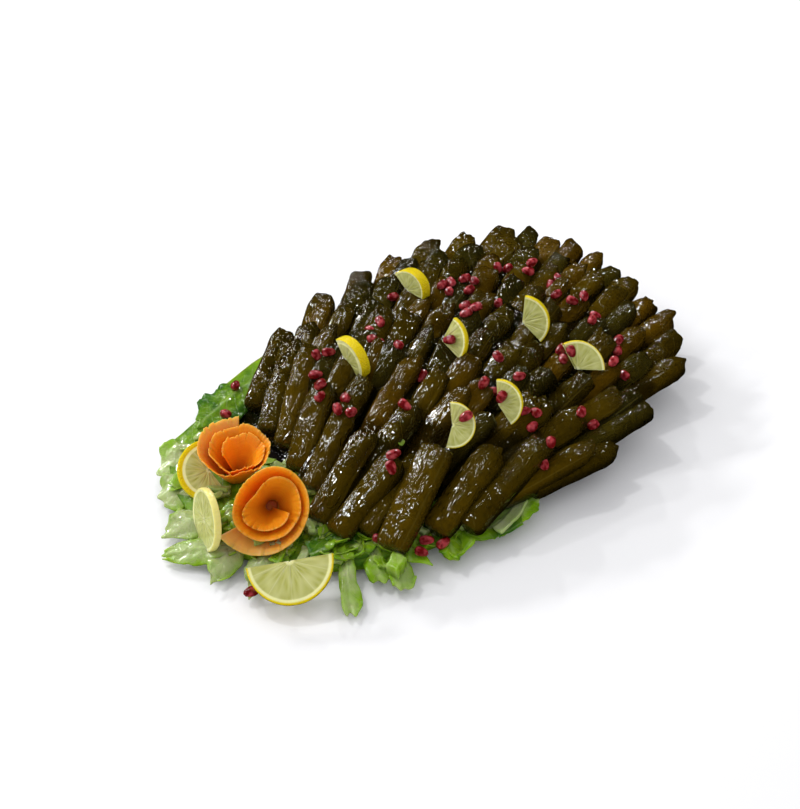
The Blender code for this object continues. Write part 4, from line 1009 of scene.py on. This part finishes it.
for number, (spot, heading, size, tone) in enumerate(pieces):
    hit = leaf_surface.ray_cast(Vector((*spot, 100)), Vector((0, 0, -1)))[0]
    bare = spot[0] < FEW_FROM[0] and spot[1] > FEW_FROM[1] and number % 5
    if hit is None or bare or any(math.dist(spot, foot[:2]) < ROSE_ROOM for _, foot, *_ in ROSES):
        continue
    below = sum(math.dist(spot, other) < 5 for other in laid)
    laid.append(spot)
    shape, quads, grid = torn_piece(size[0], size[1], size[2], number * 1.3, size[3])
    turn = Matrix.Rotation(math.radians(heading), 4, "Z") @ Matrix.Rotation(draw.uniform(-0.5, 0.5), 4, "X")
    lift = Vector((0, 0, 0.4 + size[3] / 2 + 1.1 * min(below, 3)))
    place = np.column_stack([grid[:, 0] * 14, grid[:, 1] * 9 + 5, grid[:, 0] * 0])
    shreds.append((placed(shape, Matrix.Translation(hit + lift) @ turn), quads, place,
                   np.full(len(shape), tone)))
points, faces, places, tones = joined(shreds)
put("lettuce_shreds", points, faces, green, ["lettuce"], "lettuce_leaf", blade_place=places, blade_tone=tones)
salad_surface = BVHTree.FromPolygons(
    np.concatenate([under, points]).tolist(), under_faces + (faces + len(under)).tolist())

shape, quads, grid = torn_piece(4.5, 3.2, 1.0, 3.0, 0.7)
hit = roll_surface.ray_cast(Vector((*FLECK_PLACE, 200)), Vector((0, 0, -1)))[0]
put("green_fleck", shape + np.array(hit) + (0, 0, 1.0), quads, green, ["dolma_heap"], "lettuce_leaf",
    blade_place=shape + (0, 5, 0), blade_tone=np.full(len(shape), 0.4))

# The seeds on the lettuce lie on whatever is uppermost there: leaf, shred or bed.
points, faces, inside = lay_seeds(BED_ARILS, salad_surface, random.Random(3), 0.75)
put("seeds_on_lettuce", points, faces, aril, ["lettuce"], "lettuce_leaf", seed_place=inside)

# The studio: a white sweep that runs past the picture's edges, a soft box behind and to the left that
# throws the shadow towards the viewer's right, and an even white room round it. The oil and the juice mirror
# only the narrow window and the small lamps, so their glints are small and hard, as in the photo.
SWEEP = 6  # metres from its middle to its edges
white_floor, tree, shader = finish("white backdrop paper", Roughness=0.9)
place = add(tree, "TexCoord").outputs["Object"]
grain = add(tree, "TexNoise", {"Vector": place, "Scale": 3.0})
tint = add(tree, "Mix", {0: grain, 6: srgb("#ebebec"), 7: srgb("#efeff0")}, data_type="RGBA")
feed(tree, shader, {"Base Color": tint})
mesh = bpy.data.meshes.new("backdrop")
mesh.from_pydata([(-SWEEP, -SWEEP, 0), (SWEEP, -SWEEP, 0), (SWEEP, SWEEP, 0), (-SWEEP, SWEEP, 0)], [],
                 [(0, 1, 2, 3)])
mesh.materials.append(white_floor)
floor = bpy.data.objects.new("backdrop", mesh)
bpy.context.scene.collection.objects.link(floor)
floor.visible_glossy = False

world = bpy.data.worlds.new("white room")
world.use_nodes = True
world.node_tree.nodes["Background"].inputs["Color"].default_value = srgb("#fbfbfd")
world.node_tree.nodes["Background"].inputs["Strength"].default_value = 0.82
world.cycles_visibility.glossy = False
bpy.context.scene.world = world

LAMPS = (  # place in metres, width, height, power in watts and whether it is mirrored
    ("soft box", (-0.25, 1.9, 2.6), 1.4, 1.4, 13.8, False),
    ("window", (0.05, 2.1, 1.05), 0.8, 0.09, 22.0, True),
    ("lamp above", (-0.15, 1.1, 1.7), 0.10, 0.10, 6.0, True),
    ("lamp left", (-1.1, 1.3, 1.0), 0.10, 0.10, 5.5, True),
    ("lamp right", (1.4, 1.2, 1.0), 0.10, 0.10, 6.0, True),
)
for name, spot, width, tall, power, glints in LAMPS:
    light = bpy.data.lights.new(name, "AREA")
    light.shape = "RECTANGLE"
    light.size = width
    light.size_y = tall
    light.energy = power
    lamp = bpy.data.objects.new(name, light)
    lamp.location = spot
    lamp.rotation_mode = "QUATERNION"
    lamp.rotation_quaternion = (-Vector(spot)).to_track_quat("-Z", "Y")
    lamp.visible_glossy = glints
    bpy.context.scene.collection.objects.link(lamp)

# The camera stands 0.95 m off, 41 degrees above the table, at the roses' corner of the dish.
AZIMUTH, ELEVATION, DISTANCE = math.radians(-48), math.radians(41), 0.95
AIM = (0, 0, 0.02)
FOCAL, PICTURE, FILM = 1360, 809, 36  # focal length and the picture's longer side in pixels, film in mm
flat = math.cos(ELEVATION)
back = Vector((math.sin(AZIMUTH) * flat, -math.cos(AZIMUTH) * flat, math.sin(ELEVATION)))
lens = bpy.data.cameras.new("camera")
lens.lens = FOCAL / PICTURE * FILM
lens.clip_start, lens.clip_end = 0.01, 50
camera = bpy.data.objects.new("camera", lens)
camera.location = Vector(AIM) + back * DISTANCE + Vector((SHIFT[0], SHIFT[1], 0)) * MM
camera.rotation_mode = "QUATERNION"
camera.rotation_quaternion = (-back).to_track_quat("-Z", "Y")
bpy.context.scene.collection.objects.link(camera)
bpy.context.scene.camera = camera
bpy.context.scene.view_settings.view_transform = "Standard"
